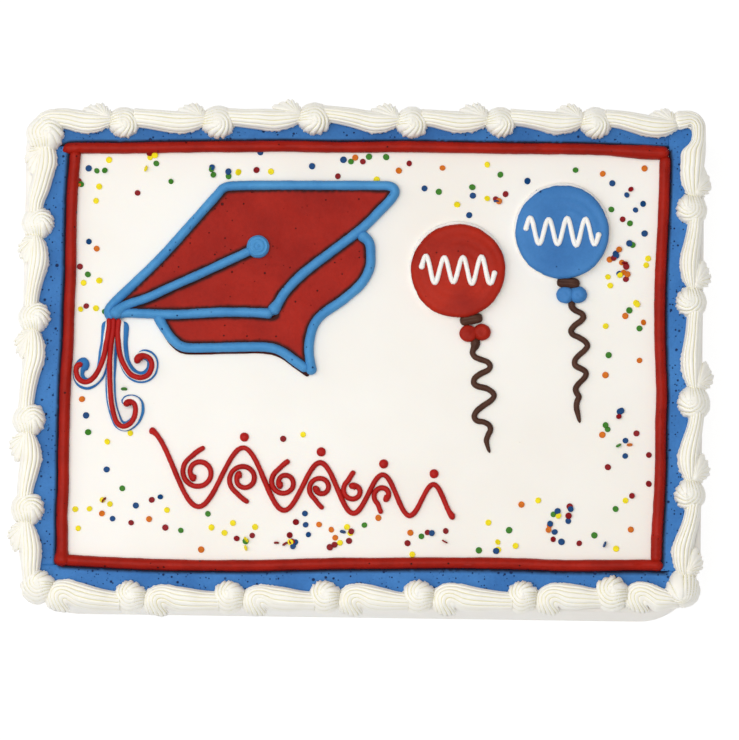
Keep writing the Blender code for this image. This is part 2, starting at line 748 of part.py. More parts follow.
def distance_to_line(point, line):
    """How far a point is from the nearest stretch of a line."""
    nearest = math.inf
    for start, end in zip(line, line[1:]):
        span = end - start
        part = max(0, min(1, (point - start).dot(span) / span.length_squared))
        nearest = min(nearest, (point - start - span * part).length)
    return nearest


def is_inside(point, outline):
    """Whether a point lies inside a closed outline."""
    inside = False
    for a, b in zip(outline, outline[1:] + outline[:1]):
        crosses = (a.y > point.y) != (b.y > point.y)
        if crosses and point.x < a.x + (b.x - a.x) * (point.y - a.y) / (b.y - a.y):
            inside = not inside
    return inside


def decoration_lines(scroll):
    """Every line that the confetti stays clear of, with half its width."""
    cap = [places(*line) for line in (BOARD_RIM, BOARD_LOWER_EDGE, CROWN_SIDE,
                                      CROWN_LOWER_EDGE)]
    lines = [(line, OUTLINE_WIDTH / 2) for line in cap]
    lines += [(places(*strand), TASSEL_LINES[0][1] / 2) for strand in TASSEL_STRANDS.values()]
    lines += [(line, SCROLL_WIDTH / 2) for line in scroll]
    for shape in BALLOONS.values():
        middle, knot, *bow = places(shape["middle"], shape["knot"], *shape["bow"])
        disc_end = middle + Vector((0, BALLOON_BASE_BACK))
        lines.append(([middle, disc_end], BALLOON_BASE_RADIUS))
        lines.append(([knot, *bow], KNOT_LENGTH / 2))
        lines.append((places(*shape["string"]), STRING_WIDTH))
    return lines


def confetti_spots(scroll):
    """Places for the confetti, drawn by chance from a fixed seed."""
    draw = random.Random(CONFETTI_SEED)
    lines = decoration_lines(scroll)
    cap = places(*BOARD_RIM, *BOARD_LOWER_EDGE)
    crown = places(*CROWN_SIDE, *CROWN_LOWER_EDGE)
    reach_x = FRAME_HALF_WIDTH - CONFETTI_ROPE_CLEARANCE
    reach_y = FRAME_HALF_DEPTH - CONFETTI_ROPE_CLEARANCE
    spots = []
    while len(spots) < CONFETTI_COUNT:
        offset = Vector((draw.uniform(-reach_x, reach_x), draw.uniform(-reach_y, reach_y)))
        from_frame = min(reach_x - abs(offset.x), reach_y - abs(offset.y))
        chance = draw.random()
        if from_frame > CONFETTI_BAND and chance > CONFETTI_STRAY_CHANCE:
            continue
        spot = offset + Vector((FRAME_X, FRAME_Y))
        if is_inside(spot, cap) or is_inside(spot, crown):
            continue
        if any((spot - other).length < CONFETTI_SPACING for other in spots):
            continue
        if any(distance_to_line(spot, line) < half + CONFETTI_CLEARANCE
               for line, half in lines):
            continue
        spots.append(spot)
    return spots


def add_confetti(body, scroll):
    """Fuse the confetti to the top of the iced block."""
    draw = random.Random(CONFETTI_SEED + 1)
    pieces = new_collection("confetti")
    for index, spot in enumerate(confetti_spots(scroll)):
        rise = draw.uniform(CONFETTI_LOW, CONFETTI_HIGH)
        turn = draw.uniform(0, math.pi)
        shape = bmesh.new()
        bmesh.ops.create_cone(shape, cap_ends=True, segments=CONFETTI_SIDES,
                              radius1=CONFETTI_RADIUS, radius2=CONFETTI_RADIUS,
                              depth=rise + CONFETTI_SUNK)
        disc = mesh_object(f"confetti_{index}", shape, icing("white_icing", WHITE), pieces)
        disc.location = (spot.x, spot.y, TOP + (rise - CONFETTI_SUNK) / 2)
        disc.rotation_euler.z = turn
    fuse(body, pieces)


def main():
    clear_scene()
    parts = new_collection("sheet_cake")
    body = make_body(parts)
    make_band(parts)
    make_rope(parts)
    make_border(parts)
    make_mortarboard(parts)
    make_tassel(parts)
    for colour, shade in (("red", RED), ("blue", BAND_BLUE)):
        material = icing(f"balloon_{colour}_icing", shade)
        make_balloon(colour, BALLOONS[colour], material, parts)
    scroll = make_scroll(parts)
    add_confetti(body, scroll)


main()
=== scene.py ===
import json
import math
import random

import bmesh
import bpy
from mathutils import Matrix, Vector, noise
from mathutils.kdtree import KDTree

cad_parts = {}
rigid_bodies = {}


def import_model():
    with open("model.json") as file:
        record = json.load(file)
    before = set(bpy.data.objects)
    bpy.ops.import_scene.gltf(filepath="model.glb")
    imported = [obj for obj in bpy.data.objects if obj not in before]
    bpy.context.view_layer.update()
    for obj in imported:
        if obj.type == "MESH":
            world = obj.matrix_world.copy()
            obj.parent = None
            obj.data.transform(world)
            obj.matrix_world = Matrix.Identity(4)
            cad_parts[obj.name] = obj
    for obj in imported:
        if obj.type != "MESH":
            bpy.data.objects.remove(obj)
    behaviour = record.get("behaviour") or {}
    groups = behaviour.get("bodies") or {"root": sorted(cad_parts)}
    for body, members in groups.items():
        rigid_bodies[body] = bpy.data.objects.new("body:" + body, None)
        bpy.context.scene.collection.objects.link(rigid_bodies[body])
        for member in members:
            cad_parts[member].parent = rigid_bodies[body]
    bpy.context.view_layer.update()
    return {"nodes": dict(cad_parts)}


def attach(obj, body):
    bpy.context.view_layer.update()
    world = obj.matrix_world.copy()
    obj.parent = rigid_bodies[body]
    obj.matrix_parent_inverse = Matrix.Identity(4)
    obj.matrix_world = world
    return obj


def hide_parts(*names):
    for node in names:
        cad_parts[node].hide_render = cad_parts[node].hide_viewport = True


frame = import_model()

mm = 0.001
top = 72 * mm                      # level of the white top
bodyMm = (470, 344, 72)            # the iced block in millimetres
bodySize = Vector(bodyMm) * mm
underTop = 0.3 * mm                # how far what lies on the cake reaches into its icing
chance = random.Random(7)          # for the shell border


# helpers for meshes

def selectOnly(pieces):
    for item in list(bpy.context.selected_objects):
        item.select_set(False)
    for item in pieces:
        item.select_set(True)
    bpy.context.view_layer.objects.active = pieces[0] if pieces else None


selectOnly([])


def inEditMode(piece):
    selectOnly([piece])
    bpy.ops.object.mode_set(mode="EDIT")
    bpy.ops.mesh.select_all(action="SELECT")


def backToObject():
    bpy.ops.object.mode_set(mode="OBJECT")


def applyPlace(piece):
    selectOnly([piece])
    bpy.ops.object.transform_apply(location=True, rotation=True, scale=True)


def tidyFaces(gap):
    # in edit mode: merges what lies closer than the gap and turns all faces outwards
    bpy.ops.mesh.select_all(action="SELECT")
    bpy.ops.mesh.remove_doubles(threshold=gap)
    bpy.ops.mesh.normals_make_consistent(inside=False)


def bevelEdges(piece, test, offset, segments):
    # bevels the edges whose two ends pass the test, by place, and stays in edit mode
    inEditMode(piece)
    bpy.ops.mesh.select_all(action="DESELECT")
    bpy.context.tool_settings.mesh_select_mode = (False, True, False)
    backToObject()
    verts = piece.data.vertices
    for edge in piece.data.edges:
        edge.select = test(verts[edge.vertices[0]].co, verts[edge.vertices[1]].co)
    bpy.ops.object.mode_set(mode="EDIT")
    bpy.ops.mesh.bevel(offset=offset, segments=segments, affect="EDGES")


def drawCurve(addCurve, places):
    # a level curve through the places
    addCurve()
    piece = bpy.context.active_object
    piece.data.splines.clear()
    spline = piece.data.splines.new("POLY")
    spline.points.add(len(places) - 1)
    for knot, place in zip(spline.points, places):
        knot.co = (place.x, place.y, 0, 1)
    return piece, piece.data, spline


def toMesh(piece):
    selectOnly([piece])
    bpy.ops.object.convert(target="MESH")
    return bpy.context.view_layer.objects.active


def applyModifier(piece, kind, **settings):
    selectOnly([piece])
    modifier = piece.modifiers.new(kind.title(), kind)
    for key, value in settings.items():
        setattr(modifier, key, value)
    bpy.ops.object.modifier_apply(modifier=modifier.name)


def moveVerts(piece, rule):
    for vert in piece.data.vertices:
        vert.co = rule(vert.co.copy(), vert)
    piece.data.update()


def noiseAt(*place):
    return noise.noise(Vector(place))


def cellNoise(place, size, shift=0.0):
    return noise.noise(Vector((place.x, place.y, place.z)) / size + Vector((shift, shift, shift)))


def ramp(value, low, high):
    part = min(1, max(0, (value - low) / (high - low)))
    return part * part * (3 - 2 * part)


def storeValues(piece, values):
    # the painted-shade value at each vertex, which darkens the icing's colour
    attribute = piece.data.attributes.new("paintedShade", "FLOAT", "POINT")
    attribute.data.foreach_set("value", values)


def storeGrooveShade(piece, reach=2, spread=1.6, level=0.35):
    # 0 on a ridge, the level where the surface is even and 1 deep in a groove; the icing darkens by
    # it as painted shade in the grooves
    mesh = piece.data
    near = [[] for _ in mesh.vertices]
    for edge in mesh.edges:
        a, b = edge.vertices
        near[a].append(b)
        near[b].append(a)
    co = [v.co.copy() for v in mesh.vertices]
    normal = [v.normal.copy() for v in mesh.vertices]
    bend = []
    for index, others in enumerate(near):
        total = 0.0
        for other in others:
            away = co[other] - co[index]
            if away.length > 1e-9:
                total += normal[index].dot(away.normalized())
        bend.append(total / max(1, len(others)))
    for _ in range(reach):
        bend = [0.5 * bend[i] + 0.5 * sum(bend[j] for j in near[i]) / max(1, len(near[i]))
                for i in range(len(bend))]
    storeValues(piece, [min(1.0, max(0.0, level + spread * value)) for value in bend])


def shadeBeside(piece, paths, near, far):
    # painted shade: 1 beside the lines that lie on a field, falling to 0 between the two distances,
    # so the field is darkened next to the lines
    tree = KDTree(sum(len(path) for path in paths))
    for index, place in enumerate(place for path in paths for place in path):
        tree.insert((place.x, place.y, 0), index)
    tree.balance()
    values = []
    for vert in piece.data.vertices:
        gap = tree.find((vert.co.x, vert.co.y, 0))[2]
        gap += 0.5 * mm * cellNoise(vert.co, 4 * mm)
        values.append(1 - ramp(gap, near, far))
    storeValues(piece, values)


def finishPiece(piece, name, material, nodes=(), smooth=60):
    applyPlace(piece)
    piece.name = name
    piece.data.name = name
    piece.data.materials.clear()
    piece.data.materials.append(material)
    for face in piece.data.polygons:
        face.material_index = 0
    selectOnly([piece])
    bpy.ops.object.shade_smooth_by_angle(angle=math.radians(smooth))
    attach(piece, "root")
    if nodes:
        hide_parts(*nodes)


# materials

def toLinear(colour):
    out = []
    for value in colour:
        value = value / 255
        out.append(value / 12.92 if value <= 0.04045 else ((value + 0.055) / 1.055) ** 2.4)
    return (*out, 1)


def addNode(tree, kind, inputs, **settings):
    # an input is a plain value, or the output of another node that feeds it
    node = tree.nodes.new("ShaderNode" + kind)
    for key, value in settings.items():
        setattr(node, key, value)
    for key, value in inputs.items():
        if isinstance(value, bpy.types.NodeSocket):
            tree.links.new(value, node.inputs[key])
        else:
            node.inputs[key].default_value = value
    return node


def mixColours(tree, part, first, second):
    return addNode(tree, "Mix", {0: part, 6: first, 7: second}, data_type="RGBA").outputs[2]


def mapValue(tree, value, low, high, least=0, most=1):
    return addNode(tree, "MapRange", {"Value": value, "From Min": low, "From Max": high,
                                      "To Min": least, "To Max": most}).outputs["Result"]


def combine(tree, operation, first, second):
    return addNode(tree, "Math", {0: first, 1: second}, operation=operation).outputs[0]


# what an icing has where its own look doesn't say otherwise; scales are cells in a metre
icingLook = {
    "soft": 0.05, "softReach": (1, 0.8, 0.6), "softDepth": 2 * mm, "shine": 0.12, "rough": 0.42,
    "roughSpread": (-0.06, 0.08), "cloudEdges": (0.35, 0.68), "fleckScale": 420,
    "fleckEdges": (0.3, 0.62), "paintedShadeEdges": (0.42, 0.75), "bubbles": (), "grainScale": 1400,
    "grainHigh": 0.25, "pitDeep": 0.35 * mm, "pitStrength": 0.7, "smearStretch": (1, 1, 1),
    "smearStrength": 0.6}


def icingMaterial(name, ownLook):
    look = {**icingLook, **ownLook}
    material = bpy.data.materials.new(name)
    material.use_nodes = True
    tree = material.node_tree
    shader = tree.nodes["Principled BSDF"]
    shader.inputs["Subsurface Weight"].default_value = look["soft"]
    shader.inputs["Subsurface Radius"].default_value = look["softReach"]
    shader.inputs["Subsurface Scale"].default_value = look["softDepth"]
    shader.inputs["Specular IOR Level"].default_value = look["shine"]
    place = addNode(tree, "TexCoord", {}).outputs["Object"]

    # cloudy change of colour over some centimetres
    cloud = addNode(tree, "TexNoise", {"Vector": place, "Scale": look["cloudScale"],
                                       "Detail": 3}).outputs["Fac"]
    colour = mixColours(tree, mapValue(tree, cloud, *look["cloudEdges"]),
                        toLinear(look["colour"]), toLinear(look["cloudColour"]))

    # fine mottling
    if "fleck" in look:
        fleck = addNode(tree, "TexNoise", {"Vector": place, "Scale": look["fleckScale"],
                                           "Detail": 4, "Roughness": 0.65}).outputs["Fac"]
        dim = mapValue(tree, fleck, *look["fleckEdges"],
                       1 - 1.6 * look["fleck"], 1 + 0.4 * look["fleck"])
        colour = addNode(tree, "VectorMath", {0: colour, "Scale": dim},
                         operation="SCALE").outputs["Vector"]

    # painted shade: grooves, and the field beside lines, are darkened by the painted-shade value
    if "paintedShadeColour" in look:
        paintedShade = addNode(tree, "Attribute", {}, attribute_name="paintedShade").outputs["Fac"]
        colour = mixColours(tree, mapValue(tree, paintedShade, *look["paintedShadeEdges"]), colour,
                            toLinear(look["paintedShadeColour"]))

    # tiny burst air bubbles: their spacing, the share of them that is there and their size; each
    # pit is dented and gets a darker colour as painted shade inside the hole
    grain = addNode(tree, "TexNoise", {"Vector": place, "Scale": look["grainScale"],
                                       "Detail": 2}).outputs["Fac"]
    lift = combine(tree, "MULTIPLY", grain, look["grainHigh"])
    for number, (spacing, share, hole) in enumerate(look["bubbles"]):
        shift = addNode(tree, "Mapping", {"Vector": place, "Location": (
            number * 3.7, number * 1.3, number * 2.1)}).outputs["Vector"]
        cell = addNode(tree, "TexVoronoi", {"Vector": shift, "Scale": 1 / spacing})
        parts = addNode(tree, "SeparateColor", {"Color": cell.outputs["Color"]})
        chosen = combine(tree, "LESS_THAN", parts.outputs["Red"], share)
        reach = mapValue(tree, parts.outputs["Green"], 0, 1, 0.35 * hole, hole)
        edge = combine(tree, "SUBTRACT", reach, cell.outputs["Distance"])
        inside = mapValue(tree, edge, 0, 0.35 * hole)
        pit = combine(tree, "MULTIPLY", inside, chosen)
        colour = mixColours(tree, pit, colour, toLinear(look["pitShadeColour"]))
        lift = combine(tree, "SUBTRACT", lift, pit)
    tree.links.new(colour, shader.inputs["Base Color"])

    smoothest, roughest = (look["rough"] + change for change in look["roughSpread"])
    tree.links.new(mapValue(tree, cloud, 0, 1, smoothest, roughest), shader.inputs["Roughness"])

    # broad marks of the spatula, and the bubbles and grain on them
    stretch = addNode(tree, "Mapping", {"Vector": place, "Scale": look["smearStretch"]})
    smear = addNode(tree, "TexNoise", {"Vector": stretch.outputs["Vector"],
                                       "Scale": look["smearScale"], "Detail": 3})
    broad = addNode(tree, "Bump", {"Height": smear.outputs["Fac"], "Distance": look["smearHigh"],
                                   "Strength": look["smearStrength"]})
    fine = addNode(tree, "Bump", {"Height": lift, "Normal": broad.outputs["Normal"],
                                  "Distance": look["pitDeep"], "Strength": look["pitStrength"]})
    tree.links.new(fine.outputs["Normal"], shader.inputs["Normal"])
    return material


whiteIcing = icingMaterial("whiteIcing", {
    "colour": (250, 248, 243), "cloudColour": (244, 240, 233), "cloudScale": 7, "soft": 0.15,
    "shine": 0.35, "rough": 0.5, "smearScale": 30, "smearStretch": (0.5, 1.6, 1),
    "smearHigh": 0.25 * mm, "bubbles": ((9 * mm, 0.16, 0.05),), "pitShadeColour": (226, 219, 205),
    "grainHigh": 0.12})
# the pale yellow in the shells' grooves is painted shade, tinted warm
shellIcing = icingMaterial("shellIcing", {
    "colour": (250, 248, 241), "cloudColour": (246, 243, 234), "cloudScale": 60, "soft": 0.15,
    "softReach": (1, 0.9, 0.75), "paintedShadeColour": (226, 220, 168), "paintedShadeEdges": (0.4, 0.8),
    "shine": 0.4, "rough": 0.46, "smearScale": 300, "smearHigh": 0.15 * mm, "grainHigh": 0.3})
bandTone = {
    "colour": (64, 128, 196), "cloudColour": (52, 112, 180), "cloudScale": 30,
    "paintedShadeColour": (6, 16, 44), "paintedShadeEdges": (0, 0.8), "fleck": 0.06,
    "smearScale": 60, "smearHigh": 0.4 * mm, "pitShadeColour": (12, 34, 78),
    "bubbles": ((2.2 * mm, 0.5, 0.34), (4.6 * mm, 0.6, 0.27), (8 * mm, 0.6, 0.2))}
bandIcing = icingMaterial("bandIcing", bandTone)
shadedBackBandIcing = icingMaterial("shadedBackBandIcing", {       # painted shade: a darker copy of the band's icing for the back stroke, which lies away from the light
    **bandTone, "colour": (56, 117, 182), "cloudColour": (45, 101, 166)})
ropeIcing = icingMaterial("ropeIcing", {
    "colour": (168, 30, 15), "cloudColour": (150, 25, 12), "cloudScale": 60,
    "paintedShadeColour": (112, 12, 12), "fleck": 0.08, "smearScale": 200, "smearHigh": 0.25 * mm,
    "bubbles": ((5 * mm, 0.4, 0.2),), "pitShadeColour": (64, 6, 6)})
fieldRedIcing = icingMaterial("fieldRedIcing", {
    "colour": (170, 30, 14), "cloudColour": (152, 24, 13), "cloudScale": 30, "soft": 0.03,
    "paintedShadeColour": (52, 5, 5), "paintedShadeEdges": (0, 0.9), "fleck": 0.06, "rough": 0.45,
    "smearScale": 45, "smearHigh": 0.5 * mm,
    "bubbles": ((4 * mm, 0.35, 0.2), (11 * mm, 0.5, 0.12)), "pitShadeColour": (70, 8, 8)})
outlineIcing = icingMaterial("outlineIcing", {
    "colour": (82, 153, 209), "cloudColour": (70, 140, 199), "cloudScale": 60, "soft": 0.06,
    "paintedShadeColour": (40, 96, 160), "fleck": 0.04, "smearScale": 160, "smearHigh": 0.3 * mm,
    "bubbles": ((5 * mm, 0.5, 0.2),), "pitShadeColour": (18, 54, 104)})
balloonRedIcing = icingMaterial("balloonRedIcing", {
    "colour": (180, 40, 20), "cloudColour": (152, 30, 18), "cloudScale": 30, "fleck": 0.05,
    "rough": 0.45, "smearScale": 60, "smearHigh": 0.5 * mm,
    "bubbles": ((7 * mm, 0.4, 0.15),), "pitShadeColour": (90, 14, 12)})
balloonBlueIcing = icingMaterial("balloonBlueIcing", {
    "colour": (70, 132, 196), "cloudColour": (58, 116, 180), "cloudScale": 26, "fleck": 0.04,
    "rough": 0.45, "smearScale": 60, "smearHigh": 0.5 * mm,
    "bubbles": ((7 * mm, 0.4, 0.15),), "pitShadeColour": (20, 54, 100)})
scrollIcing = icingMaterial("scrollIcing", {
    "colour": (182, 32, 28), "cloudColour": (166, 26, 24), "cloudScale": 90,
    "paintedShadeColour": (128, 14, 16), "smearScale": 260, "smearHigh": 0.2 * mm})
brownIcing = icingMaterial("brownIcing", {
    "colour": (84, 54, 42), "cloudColour": (68, 42, 32), "cloudScale": 120, "soft": 0.04,
    "paintedShadeColour": (40, 22, 15), "rough": 0.4, "smearScale": 300, "smearHigh": 0.25 * mm})
deepBlueIcing = icingMaterial("deepBlueIcing", {
    "colour": (58, 128, 192), "cloudColour": (46, 110, 178), "cloudScale": 90,
    "paintedShadeColour": (26, 74, 135), "smearScale": 200, "smearHigh": 0.2 * mm})
lineWhiteIcing = icingMaterial("lineWhiteIcing", {
    "colour": (252, 250, 247), "cloudColour": (246, 243, 238), "cloudScale": 120, "soft": 0.15,
    "paintedShadeColour": (222, 218, 210), "shine": 0.35, "rough": 0.45, "smearScale": 220,
    "smearHigh": 0.2 * mm})


def sugarMaterial(name, colour):
    return icingMaterial(name, {
        "colour": colour, "cloudColour": tuple(int(0.9 * c) for c in colour),
        "cloudScale": 260, "soft": 0, "rough": 0.4, "shine": 0.15, "smearScale": 500,
        "smearHigh": 0.1 * mm, "grainScale": 2600, "grainHigh": 0.4})


print("materials ready")


# the iced block

blockLook = {"corner": 27 * mm, "cornerSteps": 8, "frontCorner": 40 * mm, "frontCornerSteps": 11,
             "shoulder": 4 * mm, "shoulderSteps": 5, "cut": 6 * mm,
             "topWave": 0.16 * mm, "topWaveSize": 60 * mm, "sideWave": 0.55 * mm,
             "sideWaveSizes": (40 * mm, 14 * mm), "sideWaveShape": (0.5, 0.5, 2.2)}


def bisectAlong(axis, low, high, gap):
    count = int((high - low) / gap)
    for step in range(1, count):
        place = [0, 0, 0]
        normal = [0, 0, 0]
        place[axis] = low + (high - low) * step / count
        normal[axis] = 1
        bpy.ops.mesh.select_all(action="SELECT")
        bpy.ops.mesh.bisect(plane_co=place, plane_no=normal)


def makeBlock():
    look = blockLook
    bpy.ops.mesh.primitive_cube_add(size=1, location=(0, 0, bodySize.z / 2))
    block = bpy.context.active_object
    block.scale = bodySize
    applyPlace(block)

    def upright(a, b):
        return abs(a.z - b.z) > bodySize.z / 2

    bevelEdges(block, lambda a, b: upright(a, b) and a.y > 0, look["corner"],
               look["cornerSteps"])
    bevelEdges(block, lambda a, b: upright(a, b) and a.y < 0, look["frontCorner"],
               look["frontCornerSteps"])
    bevelEdges(block, lambda a, b: min(a.z, b.z) > top - mm, look["shoulder"],
               look["shoulderSteps"])
    half = bodySize / 2
    bisectAlong(0, -half.x, half.x, look["cut"])
    bisectAlong(1, -half.y, half.y, look["cut"])
    bisectAlong(2, 0, top - look["shoulder"], look["cut"])
    tidyFaces(0.05 * mm)
    backToObject()

    def wave(place, vert):
        # the top rises and falls a little; the walls wave in level streaks, but for their foot
        if place.z > top - 0.5 * mm:
            place.z += look["topWave"] * cellNoise(place, look["topWaveSize"])
        elif place.z >= mm:
            out = Vector((place.x / half.x, place.y / half.y, 0))
            out = Vector((out.x if abs(out.x) > 0.9 else 0, out.y if abs(out.y) > 0.85 else 0, 0))
            if out.length > 0:
                streak = place * Vector(look["sideWaveShape"])
                coarse, fine = look["sideWaveSizes"]
                push = cellNoise(streak, coarse) + 0.5 * cellNoise(streak, fine, 5)
                place -= out.normalized() * look["sideWave"] * (0.6 + push)
        return place

    moveVerts(block, wave)
    return block


block = makeBlock()
finishPiece(block, "icedBlock", whiteIcing, ["cake"], 40)
print("iced block", len(block.data.polygons))


# piped lines

def smoothPath(knots, steps=8):
    # a smooth curve through the knots
    ends = [2 * knots[0] - knots[1], *knots, 2 * knots[-1] - knots[-2]]
    points = []
    for a, b, c, d in zip(ends, ends[1:], ends[2:], ends[3:]):
        for step in range(steps):
            t = step / steps
            points.append(0.5 * (2 * b + (c - a) * t + (2 * a - 5 * b + 4 * c - d) * t * t
                                 + (3 * b - a - 3 * c + d) * t ** 3))
    points.append(knots[-1])
    return points


def evenly(points, gap):
    # the same path with points an even gap apart, and its length
    walked = [0.0]
    for a, b in zip(points, points[1:]):
        walked.append(walked[-1] + (b - a).length)
    count = max(4, round(walked[-1] / gap))
    out = []
    span = 0
    for step in range(count + 1):
        goal = walked[-1] * step / count
        while span < len(points) - 2 and walked[span + 1] < goal:
            span += 1
        part = (goal - walked[span]) / max(1e-9, walked[span + 1] - walked[span])
        out.append(points[span].lerp(points[span + 1], min(1, max(0, part))))
    return out, walked[-1]


def spots(*pairs):
    return [Vector(pair) * mm for pair in pairs]


# What a line has where its own look doesn't say otherwise. A blob swells an end, and a tip
# draws it off; wider lists more swellings: their place along the line, share and reach.
lineLook = {"base": top, "sunk": 0.25 * mm, "gap": 0.9 * mm, "seed": 0, "uneven": 0.05,
            "unevenSize": 9 * mm, "wider": (), "startBlob": 0, "endBlob": 0, "blobReach": 1.3,
            "startTip": 0, "endTip": 0, "tipWidth": 0.35, "round": 5, "flat": 0.3,
            "pressed": 0.25, "rough": 0.12 * mm, "roughSizes": (3.2 * mm, 1.3 * mm)}


def pipedLine(knots, ownLook, smoothKnots=True):
    look = {**lineLook, **ownLook}
    path, length = evenly(smoothPath(knots) if smoothKnots else knots, look["gap"])
    radius = look["width"] / 2
    seed = look["seed"] + 0.37
    step = length / (len(path) - 1)

    def onPath(walked):
        index = min(int(walked / step), len(path) - 2)
        return path[index].lerp(path[index + 1], walked / step - index), walked

    # the ends are rounded, so that points stand closer there
    close = [share * radius for share in (0, 0.04, 0.13, 0.3, 0.55)]
    rows = [onPath(walked) for walked in close]
    rows += [(place, index * step) for index, place in enumerate(path)
             if 0.8 * radius < index * step < length - 0.8 * radius]
    rows += [onPath(length - walked) for walked in reversed(close)]
    line, curve, spline = drawCurve(bpy.ops.curve.primitive_nurbs_path_add,
                                    [place for place, _ in rows])
    for knot, (_, walked) in zip(spline.points, rows):
        swell = 1 + look["uneven"] * noiseAt(walked / look["unevenSize"], seed, 0)
        for middle, factor, reach in look["wider"]:
            swell *= 1 + factor * math.exp(-((walked - middle) / reach) ** 2)
        for away, end in ((walked, "start"), (length - walked, "end")):
            blob = math.exp(-((away / radius - 1) / look["blobReach"]) ** 2)
            swell *= 1 + look[end + "Blob"] * blob
            tip = look[end + "Tip"]
            if away < tip:
                swell *= look["tipWidth"] + (1 - look["tipWidth"]) * (away / tip) ** 0.7
        cap = min(1, min(walked, length - walked) / radius)
        knot.radius = max(0.04, math.sqrt(1 - (1 - cap) ** 2)) * swell
    curve.dimensions = "3D"
    curve.bevel_depth = radius
    curve.bevel_resolution = look["round"]
    curve.use_fill_caps = True
    line = toMesh(line)
    flat = look["flat"]
    pressed = look["pressed"]
    for vert in line.data.vertices:
        level = (vert.co.z / radius + 1) / 2      # 0 below to 1 above
        if level < flat:                          # pressed flat where it lies on the cake
            level *= pressed
        else:
            level = pressed * flat + (level - flat) * (1 - pressed * flat) / (1 - flat)
        vert.co.z = look["base"] - look["sunk"] + look["high"] * level
    coarse, fine = look["roughSizes"]
    moveVerts(line, lambda place, vert: place + vert.normal * look["rough"]
              * (cellNoise(place, coarse, seed) + 0.6 * cellNoise(place, fine, seed)))
    return line


def linePiece(name, knots, look, material, node, smoothKnots=True):
    line = pipedLine(knots, look, smoothKnots)
    storeGrooveShade(line)
    finishPiece(line, name, material, [node])


# the blue band

# middle lines of the four strokes of the red rope, which the band follows
ropeKnots = {
    "back": spots(
        (-209, 142.4), (-205, 144.3), (-193, 144.9), (-165, 145.3), (-137, 146.2), (-110, 147.0),
        (-82, 147.5), (-55, 148.2), (-27, 147.9), (0, 148.3), (28, 149), (69, 148.8),
        (111, 148.8), (152, 149), (175, 148.3), (190, 147.6), (210, 146.8)),
    "left": spots(
        (-200.2, 143.5), (-200.8, 132.6), (-202, 112), (-202.2, 84), (-202, 56), (-202.6, 35),
        (-202.9, 7.6), (-204.1, -13), (-204.6, -41), (-204.7, -69), (-204.4, -90), (-205, -110),
        (-204.5, -128), (-204.6, -145.4)),
    "front": spots(
        (-204, -141), (-179, -142.1), (-151, -143.1), (-124, -143.5), (-96, -143.4), (-69, -143),
        (-41, -141.9), (-13, -140.8), (14, -140.4), (42, -139.7), (83, -139.2), (111, -139.4),
        (138, -140.1), (166, -139.7), (194, -139), (208.5, -139.4)),
    "right": spots(
        (203.8, -137.5), (204.2, -118), (205.3, -98), (206.2, -70), (206.1, -42), (206.6, -22),
        (205.6, 0), (204.7, 24), (204.6, 48), (205.2, 72), (206.2, 96), (206.9, 118),
        (207.4, 145)),
}
# clear is from the rope's middle to the band's edge, and seam the gap where two strokes meet,
# below 0 as they overlap. The grid has gridWidth before it is drawn to the rope.
bandLook = {"cut": 2.4 * mm, "gridWidth": 20 * mm, "high": 2.1 * mm, "wave": 0.22 * mm,
            "waveSizes": (22 * mm, 7 * mm), "soft": 1.1 * mm, "clear": 3.3 * mm,
            "outX": 226.5 * mm, "outY": 165.5 * mm, "corner": 6 * mm, "frontCorner": 24 * mm,
            "seamX": 210.2 * mm, "seamY": 143 * mm, "seam": -0.3 * mm,
            "shade": (4.3 * mm, 6.2 * mm)}


def ropeAt(side, axis, value):
    # where the rope's middle line crosses a place on the other axis
    knots = sorted(ropeKnots[side], key=lambda knot: knot[axis])
    for low, high in zip(knots, knots[1:]):
        if value <= high[axis]:
            break
    part = min(1, max(0, (value - low[axis]) / (high[axis] - low[axis])))
    return low.lerp(high, part)[1 - axis]


def stepsAcross(length, gap, soft):
    # even steps, with closer ones where the edge is rounded
    near = [0, 0.12 * soft, 0.4 * soft, soft]
    count = max(2, round((length - 2 * soft) / gap))
    middle = [soft + (length - 2 * soft) * i / count for i in range(1, count)]
    return near + middle + [length - step for step in reversed(near)]


